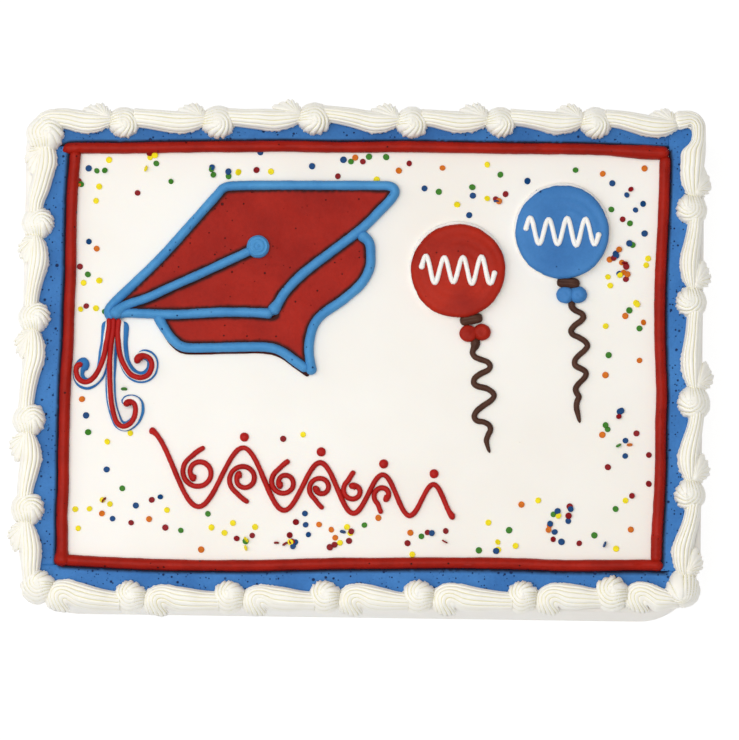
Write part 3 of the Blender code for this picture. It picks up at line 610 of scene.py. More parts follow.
def makeBand(side, axis, low, high, innerAt, outer):
    look = bandLook
    soft = look["soft"]
    gridWidth = look["gridWidth"]
    along = stepsAcross(high - low, look["cut"], soft)
    across = stepsAcross(gridWidth, look["cut"], soft)
    bpy.ops.mesh.primitive_grid_add(x_subdivisions=len(along) - 1,
                                    y_subdivisions=len(across) - 1, size=1)
    stroke = bpy.context.active_object

    def place(grid, vert):
        i = round((grid.x + 0.5) * (len(along) - 1))
        j = round((grid.y + 0.5) * (len(across) - 1))
        inner = innerAt(low + along[i])
        width = abs(outer - inner)
        inset = min(across[j], gridWidth - across[j])
        if inset > soft:
            share = (across[j] - soft) / (gridWidth - 2 * soft)
            part = (soft + share * (width - 2 * soft)) / width
        else:
            part = inset / width
            if across[j] > gridWidth / 2:
                part = 1 - part
        edge = min(inset, along[i], along[-1] - along[i]) / soft
        fall = 1 - math.sqrt(max(0, 1 - (1 - min(1, edge)) ** 2))
        spot = [0, 0, top + look["high"] - 0.8 * soft * fall]
        spot[axis] = low + along[i]
        spot[1 - axis] = inner + (outer - inner) * part
        spot = Vector(spot)
        corner = look["corner"] if spot.y > 0 else look["frontCorner"]
        over = Vector((abs(spot.x) - look["outX"] + corner, abs(spot.y) - look["outY"] + corner))
        if min(over) > 0 and over.length > corner:
            over *= corner / over.length
            spot.x = math.copysign(look["outX"] - corner + over.x, spot.x)
            spot.y = math.copysign(look["outY"] - corner + over.y, spot.y)
        coarse, fine = look["waveSizes"]
        spot.z += look["wave"] * (cellNoise(spot, coarse, 3) + 0.5 * cellNoise(spot, fine, 9)
                                  - 0.2)
        return spot

    moveVerts(stroke, place)
    inEditMode(stroke)
    bpy.ops.mesh.extrude_region_move(TRANSFORM_OT_translate={"value": (0, 0, -1.2 * mm)})
    backToObject()
    for vert in stroke.data.vertices:      # what was pushed down is the flat underside
        if vert.select:
            vert.co.z = top - underTop
    inEditMode(stroke)
    bpy.ops.mesh.normals_make_consistent(inside=False)
    backToObject()
    # painted shade on the band along the rope's edge
    shadeBeside(stroke, [smoothPath(ropeKnots[side])], *look["shade"])
    icing = shadedBackBandIcing if side == "back" else bandIcing
    finishPiece(stroke, "bandStroke." + side, icing, ["band_" + side], 40)


def ropeEdge(side, axis, sign):
    return lambda value: ropeAt(side, axis, value) + sign * bandLook["clear"]


def rightInner(y):
    # over the back stroke the right one has a straight edge
    if y > bandLook["seamY"]:
        return bandLook["seamX"] + bandLook["seam"]
    return ropeEdge("right", 1, 1)(y)


outX = bandLook["outX"]
outY = bandLook["outY"]
seam = bandLook["seam"]
makeBand("back", 0, -outX, bandLook["seamX"], ropeEdge("back", 0, 1), outY)
makeBand("right", 1, ropeEdge("front", 0, -1)(outX) + seam, outY, rightInner, outX)
makeBand("front", 0, -outX, outX, ropeEdge("front", 0, -1), -outY)
makeBand("left", 1, ropeEdge("front", 0, -1)(-outX) + seam, ropeEdge("back", 0, 1)(-outX) - seam,
         ropeEdge("left", 1, -1), -outX)
print("blue band")


# the red rope frame

ropeLook = {"width": 7.5 * mm, "high": 6.4 * mm, "gap": 1.6 * mm, "round": 10,
            "sunk": underTop, "flat": 0.25}
ropeRidges = {"count": 9, "high": 0.2 * mm, "twist": 0.5, "twistSize": 60 * mm}
ropeStrokes = {"left": {"endBlob": 0.45}, "right": {},
               "back": {"startTip": 4 * mm, "wider": ((405 * mm, 0.3, 18 * mm),)}, "front": {}}


def makeRope(side, look, seed):
    knots = ropeKnots[side]
    path = smoothPath(knots)
    line = pipedLine(knots, {**ropeLook, **look, "seed": seed})
    chord = path[-1] - path[0]
    heading = chord.normalized()
    across = Vector((-heading.y, heading.x))
    middleZ = top + ropeLook["high"] / 2

    def groove(place, vert):
        # fine lines that the nozzle left along the rope
        flat = Vector((place.x, place.y)) - path[0]
        walked = flat.dot(heading)
        share = min(1, max(0, walked / chord.length)) * (len(path) - 1)
        low = min(int(share), len(path) - 2)
        here = path[low].lerp(path[low + 1], share - low) - path[0]
        turn = math.atan2(place.z - middleZ, (flat - here).dot(across))
        twist = noiseAt(walked / ropeRidges["twistSize"], seed, 3)
        turn += ropeRidges["twist"] * twist
        return place + vert.normal * ropeRidges["high"] * math.cos(ropeRidges["count"] * turn)

    moveVerts(line, groove)
    storeGrooveShade(line, 1, 2.2)
    finishPiece(line, "ropeStroke." + side, ropeIcing, ["rope_" + side])


for seed, (side, look) in enumerate(ropeStrokes.items()):
    makeRope(side, look, seed + 1.0)
print("red rope")


# the shell border

# Lengths are in millimetres, x along the piping and y inward from a shell's place on its side.
# A head's ridges go round its eye. Angles there are in radians, from straight ahead round by
# the outer side: the ridges spread apart over ridgesOpen, and the teeth grow over fan. tooth
# is how far the teeth stand out and jag how torn they are. headGrow, lobeGrow, bulge and thin
# are ranges that each shell's own value is drawn from.
shellLook = {
    "headRadius": 11.2, "headHigh": 12.2, "headGrow": (0.96, 1.05), "eye": (0.4, 3.2),
    "headRidges": 6, "headRings": 30, "headSteps": 150, "ridgesOpen": (2.4, 6.0),
    "fan": (2.2, 3.1), "depth": 0.085, "tooth": 0.06, "jag": 1.0,
    "lobeRoot": (12.2, -3.2), "lobeHigh": 9.4, "lobeGrow": (0.94, 1.04), "lobeRidge": 19,
    "lobeRings": 14, "lobeSteps": 140,
    "tailRidges": 7, "tailSamples": 8, "tailStep": 1.3, "tailTuck": 7.0, "bulge": (8.4, 9.6),
    "thin": (2.2, 3.4), "endHigh": 9.2, "fullAt": 40, "fullHigh": 11.3,
    "bendIn": 3.3, "followFrom": 12, "base": 2.0, "drop": 4.5, "dropFrom": 5, "dropTo": 12,
}
# the cross-sections of a tail's start: outer end, inner end, height, straightness and outward
# bow. On the front the ridges curl round from the teeth at the outer edge.
curledStart = (
    ((26.4, -9.8), (10.6, -7.6), 3.0, 1.0, 3.4), ((25.8, -9.0), (9.6, -5.8), 6.4, 0.85, 2.5),
    ((25.2, -8.2), (9.0, -3.6), 8.8, 0.55, 1.5), ((24.8, -7.5), (9.0, -0.8), 10.2, 0.25, 0.7),
    ((24.7, -7.1), (10.0, 2.6), 10.8, 0.05, 0.2), ((24.8, -6.9), (12.4, 5.7), 10.9, 0, 0),
    ((25.2, -7.0), (16.2, 7.9), 11.0, 0.05, 0), ((26.0, -7.6), (20.6, 9.0), 11.1, 0.2, 0),
    ((27.6, -8.5), (25.2, 9.1), 11.2, 0.45, 0), ((31.5, -9.3), (31.0, 8.2), 11.3, 0.85, 0))
# on the other sides they run straight from the joint, beside a torn lobe
straightStart = (
    ((8.0, -4.6), (8.0, 1.6), 6.8, 0.8, 0), ((9.6, -5.8), (9.8, 3.4), 9.0, 0.85, 0),
    ((12.2, -6.8), (12.8, 5.4), 10.3, 0.9, 0), ((15.8, -7.5), (16.6, 7.2), 10.9, 0.95, 0),
    ((20.4, -7.9), (21.4, 8.5), 11.2, 1, 0), ((25.6, -8.3), (26.4, 9.0), 11.3, 1, 0),
    ((31.5, -8.9), (31.8, 8.4), 11.4, 1, 0))
startEdges = (-9.9, 9)      # the outer and inner edge of the tail that the starts are drawn for
# the lobe: how far it reaches at each angle, turning outward from straight ahead
lobeReach = ((-60, 5), (-10, 14), (10, 17), (22, 16.6), (34, 14.6), (52, 12.4), (68, 11.4),
             (88, 8.4), (112, 6.0), (150, 4.4), (240, 4), (300, 5))
# Each side is piped ahead along a line through middle. A head is given by its place along
# the line, its shift inward and its size (0 where the tail has none). A tail's outer edge is
# at outside and ends at thinEnd. The last tail reaches end, and its shift inward, edges and
# height there are in last; it goes round the pivot (along, inward) by turn degrees, its tip
# is closing long, and waist is where it is narrowest and how far in it reaches there. Of the
# first shell, early widens the tail sooner, nudge shifts it and eye is the head's own.
shellSides = {
    "back": {"ahead": (-1, 0), "middle": (0, 164.8), "outside": -8.4, "thinEnd": -9.9,
             "heads": ((-224, -0.4, 0), (-159.3, -2.9, 1), (-93.4, -2.4, 1), (-32, -1.2, 1),
                       (35.6, -3, 1.02), (101.9, 0.4, 1), (167.1, 1.6, 1)),
             "end": 233, "last": (0.5, -6.5, 2.8, 9.2), "closing": 9, "pivot": (216, 11.3),
             "turn": 40},
    "left": {"ahead": (0, -1), "middle": (-226.4, 0), "outside": -7.0, "thinEnd": -7.9,
             "heads": ((-154.1, 5, 1.13), (-92.1, 1.1, 1), (-26.6, -0.1, 1), (44.6, -2.4, 1),
                       (106.5, -2.3, 1)),
             "end": 163, "last": (2.5, -7.5, 2.8, 9.2), "closing": 6, "pivot": (170, 9.5),
             "turn": 20, "early": 5},
    "front": {"ahead": (1, 0), "middle": (0, -165.9), "outside": -9.9, "thinEnd": -9.4,
              "heads": ((-220.9, 6.2, 1.02), (-157.4, -0.3, 1), (-89.4, 0.7, 1),
                        (-23.6, 1.6, 1), (40.8, 2.5, 1), (112, 3.5, 1), (173.2, 6.6, 1.06)),
              "end": 227.5, "last": (1.4, -2.6, 2.6, 4.8), "closing": 14, "lastOutside": -5.6,
              "start": curledStart, "nudge": (-4, -4.4), "tooth": 0.13},
    "right": {"ahead": (0, 1), "middle": (227.2, 0), "outside": -6.0, "thinEnd": -7.7,
              "heads": ((-155.3, 4.4, 1.04), (-90.3, 0.4, 1), (-26.4, -1.5, 1),
                        (43.4, 0.8, 1), (108, 1, 1)),
              "end": 188, "last": (1.0, -9.4, 6.2, 9.6), "closing": 6, "lastOutside": -9.2,
              "pivot": (165.2, 4.3), "turn": 94, "waist": (51, 0.4), "eye": (-8, 1.5)},
}


def ridgeShape(phase):
    # round ridges with narrow grooves between them
    return abs(math.sin(math.pi * (phase + 0.5))) ** 0.65 - 0.6


def roughness(place, wild):
    # the small unevenness of piped cream, in millimetres
    coarse = noiseAt(place.x / 3.1, place.y / 3.1, wild)
    return 0.16 * coarse + 0.1 * noiseAt(place.x / 1.2, place.y / 1.2, wild + 4)


def unevenness(least, spread, *seeds):
    return least + spread * noiseAt(*seeds)


def reachAt(turn):
    for (low, near), (high, far) in zip(lobeReach, lobeReach[1:]):
        if low <= turn <= high:
            return near + (far - near) * ramp(turn, low, high)
    return lobeReach[-1][1]


def domeShape(middle, high, rings, steps, pointAt):
    # closed rings round a top; pointAt gives a point's place and height
    shape = bmesh.new()
    apex = shape.verts.new((*middle, high))
    loops = []
    for ring in range(1, rings + 1):
        lean = 0.5 * math.pi * ring / rings
        slope = math.cos(lean) if ring < rings else 0
        loops.append([shape.verts.new(pointAt(step / steps, math.sin(lean), slope))
                      for step in range(steps)])
    for i in range(steps):
        j = (i + 1) % steps
        shape.faces.new((apex, loops[0][i], loops[0][j]))
        for lower, upper in zip(loops[1:], loops):
            shape.faces.new((upper[i], lower[i], lower[j], upper[j]))
    shape.faces.new(loops[-1])
    return shape


def headShape(radius, high, wild, eye, tooth):
    # a dome whose ridges enter from the joint ahead, go round the outer side and the back of
    # an eye that sits inward, and fan out into teeth
    look = shellLook
    eye = Vector(eye)
    openFrom, openTo = look["ridgesOpen"]

    def pointAt(share, part, slope):
        turn = 2 * math.pi * share
        ray = Vector((math.cos(turn), -math.sin(turn)))
        along = eye.dot(ray)
        reach = -along + math.sqrt(along ** 2 + radius ** 2 - eye.length_squared)
        across = part
        if turn < 0.5 * math.pi:
            across *= math.sin(turn) * (1 + 0.35 * part * math.cos(turn))
        opened = min(1, max(0, (turn - openFrom) / (openTo - openFrom)))
        phase = look["headRidges"] * (1 - opened) * across ** (1 - 0.35 * opened)
        fan = ramp(turn, *look["fan"])
        deep = (look["depth"] + tooth * fan * part) * unevenness(
            0.75, 0.6, round(phase) * 3.1, wild, 2)
        swell = 1 + deep * ridgeShape(phase) * min(1, 1.9 * part)
        swell *= unevenness(1, 0.035, ray.x * 1.3, ray.y * 1.3, wild)
        place = eye + ray * reach * part * swell
        torn = look["jag"] * ramp(part, 0.86, 1) * (0.3 + 0.7 * fan)
        place += ray * torn * noiseAt(place.x / 1.4, place.y / 1.4, wild)
        lift = slope ** 0.8
        rise = high * lift * swell + roughness(place, wild) * min(1, 3 * lift)
        return place.x, place.y, rise

    return domeShape(eye, high, look["headRings"], look["headSteps"], pointAt)


def lobeShape(high, wild):
    # a small fan whose ridges spread from the joint and tear off into teeth
    look = shellLook
    root = Vector(look["lobeRoot"])

    def pointAt(share, part, slope):
        turn = -60 + 360 * share
        ray = Vector((math.cos(math.radians(turn)), -math.sin(math.radians(turn))))
        number = math.floor(turn / look["lobeRidge"])
        ridge = ridgeShape(turn / look["lobeRidge"]) * unevenness(
            0.8, 0.7, number * 2.9, wild, 6) * (1 - ramp(turn, 110, 140))
        place = root + ray * reachAt(turn) * part * (1 + (0.03 + 0.12 * part ** 3) * ridge)
        torn = look["jag"] * 1.3 * ramp(part, 0.8, 1)
        place += ray * torn * noiseAt(place.x / 1.3, place.y / 1.3, wild)
        lift = slope ** 0.75
        rise = high * lift * (1 + 0.07 * ridge * min(1, 2 * part))
        return place.x, place.y, rise + roughness(place, wild) * min(1, 3 * lift)

    return domeShape(root, high, look["lobeRings"], look["lobeSteps"], pointAt)


def tailStations(start, length, bulge, end, outside, closing=0, early=0, waist=None):
    # outer end, inner end, height, straightness and bow of each cross-section of a tail
    look = shellLook
    outerEnd, thin, endHigh = end
    knots = []
    for outer, inner, high, straight, bow in start:
        b = inner[1] * bulge / startEdges[1] if inner[1] > 0 else inner[1]
        a = inner[0] - early * ramp(inner[1], -2, 6)
        edge = outer[1] if start is curledStart else outer[1] * outside / startEdges[0]
        knots.append(Vector((outer[0], edge, a, b, high, straight, bow)))
    full = look["fullAt"]
    middle, narrow = waist or ((full + length) / 2, 0.2 * bulge + 0.8 * thin)
    for a, edge, inner, high in (
            (full, outside, 0.55 * bulge + 0.45 * thin, look["fullHigh"]),
            (middle, 0.5 * (outerEnd + outside), narrow, 5.8 + 0.5 * endHigh),
            (length, outerEnd, thin, endHigh)):
        knots.append(Vector((a, edge, a, inner, high, 1, 0)))
    steps = 5
    path = smoothPath(knots, steps)
    near = len(start) * steps
    rows = path[:near]
    for a, b in zip(path[near:], path[near + 1:]):
        count = max(1, round((b - a).length / look["tailStep"]))
        rows += [a.lerp(b, step / count) for step in range(count)]
    stations = []
    for row in [*rows, path[-1]]:
        outer = Vector(row[0:2])
        inner = Vector(row[2:4])
        high = row[4]
        if closing:        # the end of a tail that nothing covers is drawn off to a round tip
            left = max(0, 1 - (length - outer.x) / closing)
            shut = math.sqrt(1 - min(1, left) ** 2 * 0.96)
            middle = (outer + inner) / 2
            outer = middle + (outer - middle) * shut
            inner = middle + (inner - middle) * shut
            high *= shut ** 0.7
        stations.append((outer, inner, high, min(1, max(0, row[5])), max(0, row[6])))
    return stations


def tailShape(stations, wild):
    # each cross-section lies between a fan at the joint and an even arch further on
    look = shellLook
    ridges = look["tailRidges"]
    columns = ridges * look["tailSamples"]
    shape = bmesh.new()
    sections = []
    for outer, inner, high, straight, bow in stations:
        section = []
        for column in range(columns + 1):
            share = column / columns
            fanPart = math.sin(0.5 * math.pi * share)
            fanLift = (math.cos(0.5 * math.pi * share) ** 0.75
                       * (0.72 + 0.28 * min(1, 2.6 * share)))
            evenPart = 0.5 - 0.5 * math.cos(math.pi * share)
            evenLift = math.sin(math.pi * share) ** 0.7
            across = fanPart + (evenPart - fanPart) * straight
            lift = fanLift + (evenLift - fanLift) * straight
            ridge = ridgeShape(share * ridges + 0.5)
            number = int(share * ridges * 0.999)
            deep = look["depth"] * unevenness(0.8, 0.6, number * 3.7, wild, 5)
            swell = 1 + deep * ridge * (1 if 0 < column < columns else 0.4)
            place = outer.lerp(inner, across)
            middle = outer.lerp(inner, 0.5 * straight)
            place = middle + (place - middle) * swell
            place.y -= bow * math.sin(math.pi * share)
            place.y -= 0.45 * bow * unevenness(ridge, 0.5, number * 2.3, wild, 8)
            place.y += 0.35 * noiseAt(place.x / 14, wild, share * 1.5)
            edge = ramp(share, 0.86, 1) * (1 - ramp(place.x, 30, 38))
            place.y += look["jag"] * 1.4 * edge * noiseAt(place.x / 1.5, wild, 3)
            rise = high * lift * swell * unevenness(1, 0.05, place.x / 11, wild, 7)
            rise += roughness(place, wild) * min(1, 3 * lift)
            section.append(shape.verts.new((place.x, place.y, rise)))
        for column in range(columns, -1, -look["tailSamples"]):     # the underside
            over = section[column].co
            section.append(shape.verts.new((over.x, over.y, -0.6)))
        sections.append(section)
    size = len(sections[0])
    for first, second in zip(sections, sections[1:]):
        for i in range(size):
            j = (i + 1) % size
            shape.faces.new((first[i], second[i], second[j], first[j]))
    shape.faces.new(sections[0][::-1])
    shape.faces.new(sections[-1])
    return shape


def beyondEdge(spot):
    # how far out a place is from a line that runs dropFrom within the block's edge
    corner = blockLook["corner" if spot.y > 0 else "frontCorner"] / mm
    over = Vector((abs(spot.x) - bodyMm[0] / 2 + corner, abs(spot.y) - bodyMm[1] / 2 + corner))
    far = over.length if min(over) > 0 else max(over)
    return max(0, far - corner + shellLook["dropFrom"])


def putShape(shape, name, side, along, inset, lastInset=None, pivot=None):
    # from the border's own directions to the cake's; what hangs over the edge droops
    look = shellLook
    ahead = Vector(side["ahead"])
    inward = Vector((-ahead.y, ahead.x))
    length = max(vert.co.x for vert in shape.verts)
    for vert in shape.verts:
        a = along + vert.co.x
        b = inset + vert.co.y
        if lastInset is not None:
            b += (lastInset - inset) * ramp(vert.co.x, look["followFrom"], length)
        if pivot and a > pivot[0]:
            bend = pivot[1] + look["bendIn"]
            turn = min((a - pivot[0]) / bend, math.radians(side["turn"]))
            extra = (a - pivot[0]) - turn * bend
            away = pivot[1] - b
            a = pivot[0] + away * math.sin(turn) + extra * math.cos(turn)
            b = pivot[1] - away * math.cos(turn) + extra * math.sin(turn)
        spot = Vector(side["middle"]) + ahead * a + inward * b
        over = min(look["dropTo"], beyondEdge(spot))
        droop = look["drop"] * (over / 8) ** 1.5 * (1 - 0.5 * min(1, max(0, vert.co.z) / 12))
        vert.co = (spot.x * mm, spot.y * mm, top + (look["base"] + vert.co.z - droop) * mm)
    bmesh.ops.recalc_face_normals(shape, faces=shape.faces)
    mesh = bpy.data.meshes.new(name)
    shape.to_mesh(mesh)
    shape.free()
    return bpy.data.objects.new(name, mesh)


def makeShellSide(name):
    look = shellLook
    side = shellSides[name]
    heads = side["heads"]
    start = side.get("start", straightStart)
    pieces = []
    following = [*heads[1:], (side["end"], side["last"][0], 1)]
    for number, ((along, inset, size), (goal, goalInset, _)) in enumerate(zip(heads, following)):
        wild = 10 * number + len(name) * 3.1
        grow = chance.uniform(*look["headGrow"]) * size
        if size:
            eye = side.get("eye", look["eye"]) if number == 0 else look["eye"]
            head = headShape(look["headRadius"] * grow, look["headHigh"] * grow, wild, eye,
                             side.get("tooth", look["tooth"]))
            pieces.append(putShape(head, f"{name}Head{number}", side, along, inset))
        if start is straightStart:
            lobe = lobeShape(look["lobeHigh"] * chance.uniform(*look["lobeGrow"]), wild)
            pieces.append(putShape(lobe, f"{name}Lobe{number}", side, along, inset))
        tail = {}
        nudge, nudgeIn = (0, 0)
        if number == 0:
            nudge, nudgeIn = side.get("nudge", (0, 0))
            tail["early"] = side.get("early", 0)
        last = number == len(heads) - 1
        if last:
            length = goal - along
            end = side["last"][1:]
            outside = side.get("lastOutside", side["outside"])
            tail.update(closing=side["closing"], waist=side.get("waist"))
        else:
            length = goal - along - look["tailTuck"]
            end = (side["thinEnd"], chance.uniform(*look["thin"]), look["endHigh"])
            outside = side["outside"]
        stations = tailStations(start, length - nudge, chance.uniform(*look["bulge"]), end,
                                outside, **tail)
        pieces.append(putShape(tailShape(stations, wild), f"{name}Tail{number}", side,
                               along + nudge, inset + nudgeIn, goalInset,
                               side.get("pivot") if last else None))
    border = pieces[0]
    bpy.context.scene.collection.objects.link(border)
    others = bpy.data.collections.new(name + "Others")
    bpy.context.scene.collection.children.link(others)
    for item in pieces[1:]:
        others.objects.link(item)
    applyModifier(border, "BOOLEAN", operation="UNION", operand_type="COLLECTION",
                  collection=others, solver="MANIFOLD")
    for item in list(others.objects):
        bpy.data.objects.remove(item, do_unlink=True)
    bpy.data.collections.remove(others)
    print("shells", name, len(border.data.vertices), len(border.data.polygons))
    storeGrooveShade(border, 1, 2.4)
    finishPiece(border, "shellBorder." + name, shellIcing, ["shells_" + name], 70)


for side in ("back", "left", "front", "right"):
    makeShellSide(side)
print("shell border")


# the mortarboard

capLook = {
    "outline": {"width": 6.6 * mm, "high": 6.4 * mm, "rough": 0.14 * mm, "round": 6},
    "board": {"high": 2.8 * mm, "voxel": 0.9 * mm, "wave": 0.3 * mm,
              "waveSizes": (18 * mm, 5 * mm), "seed": 1.5},
    "crown": {"high": 2.6 * mm, "seed": 4.2},
    "shade": (3.6 * mm, 6.2 * mm),
}
boardRim = spots(
    (-171.6, 26.2), (-174.6, 28.6), (-175.4, 32.2), (-173.2, 36), (-168.6, 40.8), (-141.7, 67.6),
    (-121.9, 90.2), (-102.0, 113.5), (-97, 118.6), (-88.7, 120.1), (-61.9, 120.8), (-21.6, 121.3),
    (8, 121.6), (17.5, 121.2), (20.9, 117.6), (18.0, 111.8), (10.9, 104.2), (-1.0, 91.9),
    (-21.0, 76.1), (-40.9, 60.3), (-52.8, 47.9), (-59.6, 37.2), (-63.6, 31.2))
boardLower = spots(
    (-61.9, 31.4), (-80.8, 32.0), (-100.9, 31.7), (-127.7, 29.9), (-147.9, 30.1), (-163.0, 30.4),
    (-169.5, 28.8))
crownSide = spots(
    (-3.6, 88.2), (3.2, 82.5), (4.8, 74.4), (4.1, 63.6), (-1.8, 52.7), (-13.8, 41.7),
    (-27.1, 32.1), (-33.0, 25.2), (-35.8, 17.1), (-36.9, 6.3), (-34.6, -10.6))
crownLower = spots(
    (-142.2, 29.6), (-135.6, 18.4), (-130.2, 11.7), (-123.4, 7.4), (-111.3, 6.9), (-87.1, 7.8),
    (-67.0, 8.1), (-56.2, 5.5), (-46.7, -1.0), (-37.2, -7.6))
cordKnots = spots(
    (-172.8, 26.7), (-170.2, 30.4), (-166.6, 33.6), (-161.8, 36.4), (-148.0, 41.3),
    (-134.7, 47.8), (-114.7, 57.1), (-94.7, 66.8), (-77.5, 75.2))
outlinePaths = [smoothPath(knots) for knots in (boardRim, boardLower, crownSide, crownLower)]


def makeField(outline, look):
    field, curve, spline = drawCurve(bpy.ops.curve.primitive_bezier_circle_add, outline)
    spline.use_cyclic_u = True
    curve.dimensions = "2D"
    curve.fill_mode = "BOTH"
    curve.extrude = look["high"] / 2
    field = toMesh(field)
    inEditMode(field)
    tidyFaces(0.01 * mm)
    bpy.ops.transform.translate(value=(0, 0, top - underTop + look["high"] / 2))
    backToObject()
    applyModifier(field, "REMESH", mode="VOXEL", voxel_size=look["voxel"])
    applyModifier(field, "SMOOTH", factor=0.5, iterations=4)
    coarse, fine = look["waveSizes"]

    def wave(place, vert):
        if place.z > top + look["high"] * 0.6:
            place.z += look["wave"] * (cellNoise(place, coarse, look["seed"])
                                       + 0.45 * cellNoise(place, fine, look["seed"]))
        return place

    moveVerts(field, wave)
    return field


def shifted(knots, steps, x, y):
    return [place + Vector((x, y)) * mm for place in smoothPath(knots, steps)]


boardOutline = smoothPath(boardRim[3:], 3) + smoothPath(boardLower, 2)
boardField = makeField(boardOutline, capLook["board"])
# painted shade on the board's red beside the outlines and the cord
shadeBeside(boardField, outlinePaths + [smoothPath(cordKnots)], *capLook["shade"])
finishPiece(boardField, "capBoardField", fieldRedIcing, ["cap_board"])
# the crown's red shows a little below its outline
crownOutline = (shifted(crownSide, 3, -1.5, -0.6) + shifted(crownLower, 3, -0.9, -4.5)[::-1]
                + shifted(boardLower, 2, 2.0, -2.0)[::-1][5:]
                + shifted(boardRim, 3, 1.5, -1.5)[::-1][:18])
crownField = makeField(crownOutline, {**capLook["board"], **capLook["crown"]})
# painted shade on the crown's red beside the outlines
shadeBeside(crownField, outlinePaths, *capLook["shade"])
finishPiece(crownField, "capCrownField", fieldRedIcing, ["cap_crown"])

capLines = {
    "capRimLine": (boardRim, "cap_rim_line", {"seed": 1, "endBlob": 0.3}),
    "capCrownSideLine": (crownSide, "cap_crown_side_line",
                         {"seed": 2, "startBlob": 0.2, "endBlob": 0.12}),
    "capCrownLowerLine": (crownLower, "cap_crown_lower_line",
                          {"seed": 3, "startBlob": 0.1, "sunk": 0.1 * mm}),
    "capLowerLine": (boardLower, "cap_lower_line",
                     {"seed": 4, "startBlob": 0.1, "sunk": -0.25 * mm}),
    "capCord": (cordKnots, "cap_cord",
                {"seed": 5, "width": 6.1 * mm, "high": 6.0 * mm, "base": top + 2.4 * mm,
                 "startBlob": 0.28, "wider": ((7 * mm, 0.16, 5 * mm),)}),
}
for name, (knots, node, look) in capLines.items():
    linePiece(name, knots, {**capLook["outline"], **look}, outlineIcing,
              node)


def turnedMound(place, profile, steps, rough, roughSize, seed):
    # a profile of radius and height, spun round its middle
    bpy.ops.mesh.primitive_plane_add(size=1, location=(0, 0, 0))
    mound = bpy.context.active_object
    shape = bmesh.new()
    verts = [shape.verts.new((radius, 0, high)) for radius, high in profile]
    for pair in zip(verts, verts[1:]):
        shape.edges.new(pair)
    shape.to_mesh(mound.data)
    shape.free()
    inEditMode(mound)
    bpy.ops.mesh.spin(steps=steps, angle=2 * math.pi, center=(0, 0, 0), axis=(0, 0, 1))
    tidyFaces(0.02 * mm)
    bpy.ops.transform.translate(value=place)
    backToObject()
    moveVerts(mound, lambda spot, vert: spot + vert.normal * rough
              * cellNoise(spot, roughSize, seed))
    storeGrooveShade(mound)
    return mound


# a drop of icing laid on in rings
buttonLook = {"middle": (-73.1 * mm, 77.6 * mm, top + 2.0 * mm), "radius": 7.9 * mm,
              "high": 6.6 * mm, "rings": 3.4, "ringHigh": 0.32 * mm, "steps": 44}


def makeButton():
    look = buttonLook
    profile = [(0, look["high"])]
    for step in range(1, look["steps"] + 1):
        part = step / look["steps"]
        high = look["high"] * (1 - part ** 3.2) ** 0.55 if part < 1 else 0
        ring = math.cos(2 * math.pi * part * look["rings"]) * (1 - part ** 4)
        profile.append((look["radius"] * math.sin(0.5 * math.pi * part),
                        high + look["ringHigh"] * ring))
    profile += [(0.94 * look["radius"], -underTop), (0, -underTop)]
    button = turnedMound(look["middle"], profile, 64, 0.15 * mm, 3 * mm, 2)
    finishPiece(button, "capButton", outlineIcing, ["cap_button"])


makeButton()
print("mortarboard")


# the tassel

